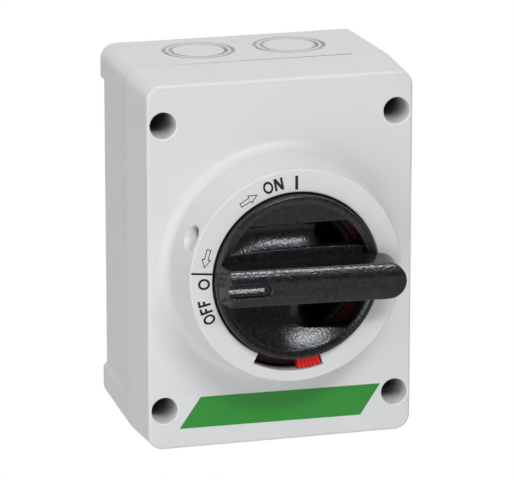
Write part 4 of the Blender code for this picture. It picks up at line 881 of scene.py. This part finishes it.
for depth, half in ((0.0013, 0.0018), (0.0006, 0.0021), (0.0002, 0.0024), (0, 0.0027), (-0.0030, 0.0027)):
    outline = [(-0.0300, SLOT_Y + half), (-0.0300, SLOT_Y - half)] + arc(SLOT_X, SLOT_Y, half, -90, 90, 16)
    slot_rings.append([(x, y, bar_front(x) - depth) for x, y in outline])
rib_section = ((0.0009, 0), (0.0009, 0.0006), (-0.0004, 0.0013), (-0.0007, 0.0013), (-0.0010, 0.0010),
               (-0.0011, 0))
rib_rings = []
for x, size in ((-0.0279, 1.0), (SLOT_X - 0.0004, 1.0), (SLOT_X + 0.0004, 0.8), (SLOT_X + 0.0009, 0.4)):
    root = bar_front(x) - SLOT_ROOT
    rib_rings.append([(x, SLOT_Y + y * size, root + height * size) for y, height in rib_section])
shape(handle, "DIFFERENCE", lofted(slot_rings))
shape(handle, "UNION", lofted(rib_rings))
for side in (-1, 1):
    screw_hole = rod(radius=0.0015, low=0.0026, high=0.0103, x=-0.0076, y=side * 0.0096, steps=20)
    shape(handle, "DIFFERENCE", screw_hole)
handle.data.transform(Matrix.Translation((0, 0, FRONT)))
finish_piece(handle, black_plastic, "handle", "black_plastic", "handle_knob")

# Switch block and terminals
# The works inside the enclosure: a dark plastic tray and top, an ivory rotor and contact carriage, brass
# terminals, silvered copper bridges and zinc-plated screws, clamps and springs. They stay the CAD solids.
dark_plastic = moulded_plastic("dark switch plastic", (0.035, 0.035, 0.038), roughness=0.50, grain=0.0004,
                               depth=0.00002, mottle=0.08)
ivory_plastic = moulded_plastic("ivory plastic", (0.68, 0.63, 0.50), roughness=0.45, grain=0.0005,
                                depth=0.00001, mottle=0.03)
brass = plated_metal("rolled brass", (0.70, 0.48, 0.18), roughness=0.32)
silvered_copper = plated_metal("silvered copper", (0.76, 0.66, 0.58), roughness=0.28)
dress(dark_plastic, "switch_base", "switch_top")
dress(ivory_plastic, "rotor", "contact_carriage")
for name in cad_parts:
    if name.startswith(("line_terminal", "load_terminal", "earth_terminal")):
        dress(brass, name)
    elif name.startswith("contact_bridge"):
        dress(silvered_copper, name)
    elif name.startswith(("plate_screw", "switch_screw", "knob_screw", "terminal_", "earth_screw",
                          "bridge_spring", "drive_shaft", "spindle_clip")):
        dress(zinc_steel, name)

# Studio
# A white floor far below the part and softboxes round it, as for a product picture: a large one and a bright
# strip high in front, one overhead, one at the left and one low at the left front.
FLOOR_LEVEL = -0.45
PART_MIDDLE = Vector((0, -0.06, 0))


def background_white(nodes, links, lit_shader, output, mirror, behind=None):
    """White to the camera and in reflections of what is behind, a plain lit surface to every other ray."""
    path = nodes.new("ShaderNodeLightPath")
    glossy = nodes.new("ShaderNodeMath")
    glossy.operation = "MULTIPLY"
    glossy.inputs[1].default_value = mirror
    links.new(path.outputs["Is Glossy Ray"], glossy.inputs[0])
    if behind:
        links.new(behind, glossy.inputs[1])
    mirrored = nodes.new("ShaderNodeMath")
    mirrored.operation = "MAXIMUM"
    links.new(glossy.outputs["Value"], mirrored.inputs[0])
    links.new(path.outputs["Is Transmission Ray"], mirrored.inputs[1])
    seen = nodes.new("ShaderNodeMath")
    seen.operation = "MAXIMUM"
    links.new(path.outputs["Is Camera Ray"], seen.inputs[0])
    links.new(mirrored.outputs["Value"], seen.inputs[1])
    white = nodes.new("ShaderNodeEmission")
    white.inputs["Strength"].default_value = 1.0
    mix = nodes.new("ShaderNodeMixShader")
    links.new(seen.outputs["Value"], mix.inputs["Fac"])
    links.new(lit_shader.outputs[0], mix.inputs[1])
    links.new(white.outputs["Emission"], mix.inputs[2])
    links.new(mix.outputs["Shader"], output.inputs["Surface"])


floor_shape = bmesh.new()
bmesh.ops.create_grid(floor_shape, x_segments=1, y_segments=1, size=6.0)
floor = add_shape("floor", moved(floor_shape, z=FLOOR_LEVEL))
floor_paint = bpy.data.materials.new("white floor")
floor_paint.use_nodes = True
floor_nodes = floor_paint.node_tree.nodes
floor_nodes["Principled BSDF"].inputs["Base Color"].default_value = (0.8, 0.8, 0.8, 1)
floor_nodes["Principled BSDF"].inputs["Roughness"].default_value = 0.9
background_white(floor_nodes, floor_paint.node_tree.links, floor_nodes["Principled BSDF"],
                 floor_nodes["Material Output"], mirror=0.15)
floor.data.materials.append(floor_paint)

world = bpy.data.worlds.new("studio")
world.use_nodes = True
world_nodes = world.node_tree.nodes
world_nodes["Background"].inputs["Color"].default_value = (1, 1, 1, 1)
world_way = world_nodes.new("ShaderNodeTexCoord")
world_parts = world_nodes.new("ShaderNodeSeparateXYZ")
world.node_tree.links.new(world_way.outputs["Generated"], world_parts.inputs["Vector"])
world_level = world_nodes.new("ShaderNodeMapRange")
world_level.inputs["From Min"].default_value = -0.3
world_level.inputs["From Max"].default_value = 0.5
world_level.inputs["To Min"].default_value = 0.147
world_level.inputs["To Max"].default_value = 0.556
world.node_tree.links.new(world_parts.outputs["Y"], world_level.inputs["Value"])
world.node_tree.links.new(world_level.outputs["Result"], world_nodes["Background"].inputs["Strength"])
world_behind = world_nodes.new("ShaderNodeMapRange")
world_behind.inputs["From Min"].default_value = -0.2
world_behind.inputs["From Max"].default_value = 0.2
world.node_tree.links.new(world_parts.outputs["Y"], world_behind.inputs["Value"])
background_white(world_nodes, world.node_tree.links, world_nodes["Background"],
                 world_nodes["World Output"], mirror=1.0, behind=world_behind.outputs["Result"])
bpy.context.scene.world = world


def softbox(name, place, size, power):
    lamp = bpy.data.lights.new(name, "AREA")
    lamp.shape = "RECTANGLE"
    lamp.size, lamp.size_y = size
    lamp.energy = power
    made = bpy.data.objects.new(name, lamp)
    made.location = place
    made.rotation_euler = (PART_MIDDLE - Vector(place)).to_track_quat("-Z", "Y").to_euler()
    bpy.context.scene.collection.objects.link(made)


softbox("key softbox", place=(0.0, -1.14, 0.90), size=(1.0, 0.6), power=2.3)
softbox("strip softbox", place=(0.12, -1.16, 0.88), size=(0.64, 0.18), power=7.9)
softbox("overhead softbox", place=(0.0, -0.10, 1.35), size=(0.9, 0.9), power=4.8)
softbox("left softbox", place=(-1.21, -0.49, 0.13), size=(0.8, 1.0), power=4.5)
softbox("front softbox", place=(-0.50, -1.45, -0.15), size=(0.8, 0.5), power=4.0)

lens = bpy.data.cameras.new("camera")
lens.sensor_fit = "HORIZONTAL"
lens.sensor_width = 36.0
lens.lens = 290.4
lens.clip_start = 0.1
lens.clip_end = 50.0
camera = bpy.data.objects.new("camera", lens)
camera.location = (-0.39598, -1.44956, 0.40650)
camera.rotation_euler = Vector((0.260258, 0.927734, -0.267533)).to_track_quat("-Z", "Y").to_euler()
bpy.context.scene.collection.objects.link(camera)
bpy.context.scene.camera = camera
bpy.context.scene.view_settings.view_transform = "Standard"

bpy.context.view_layer.update()
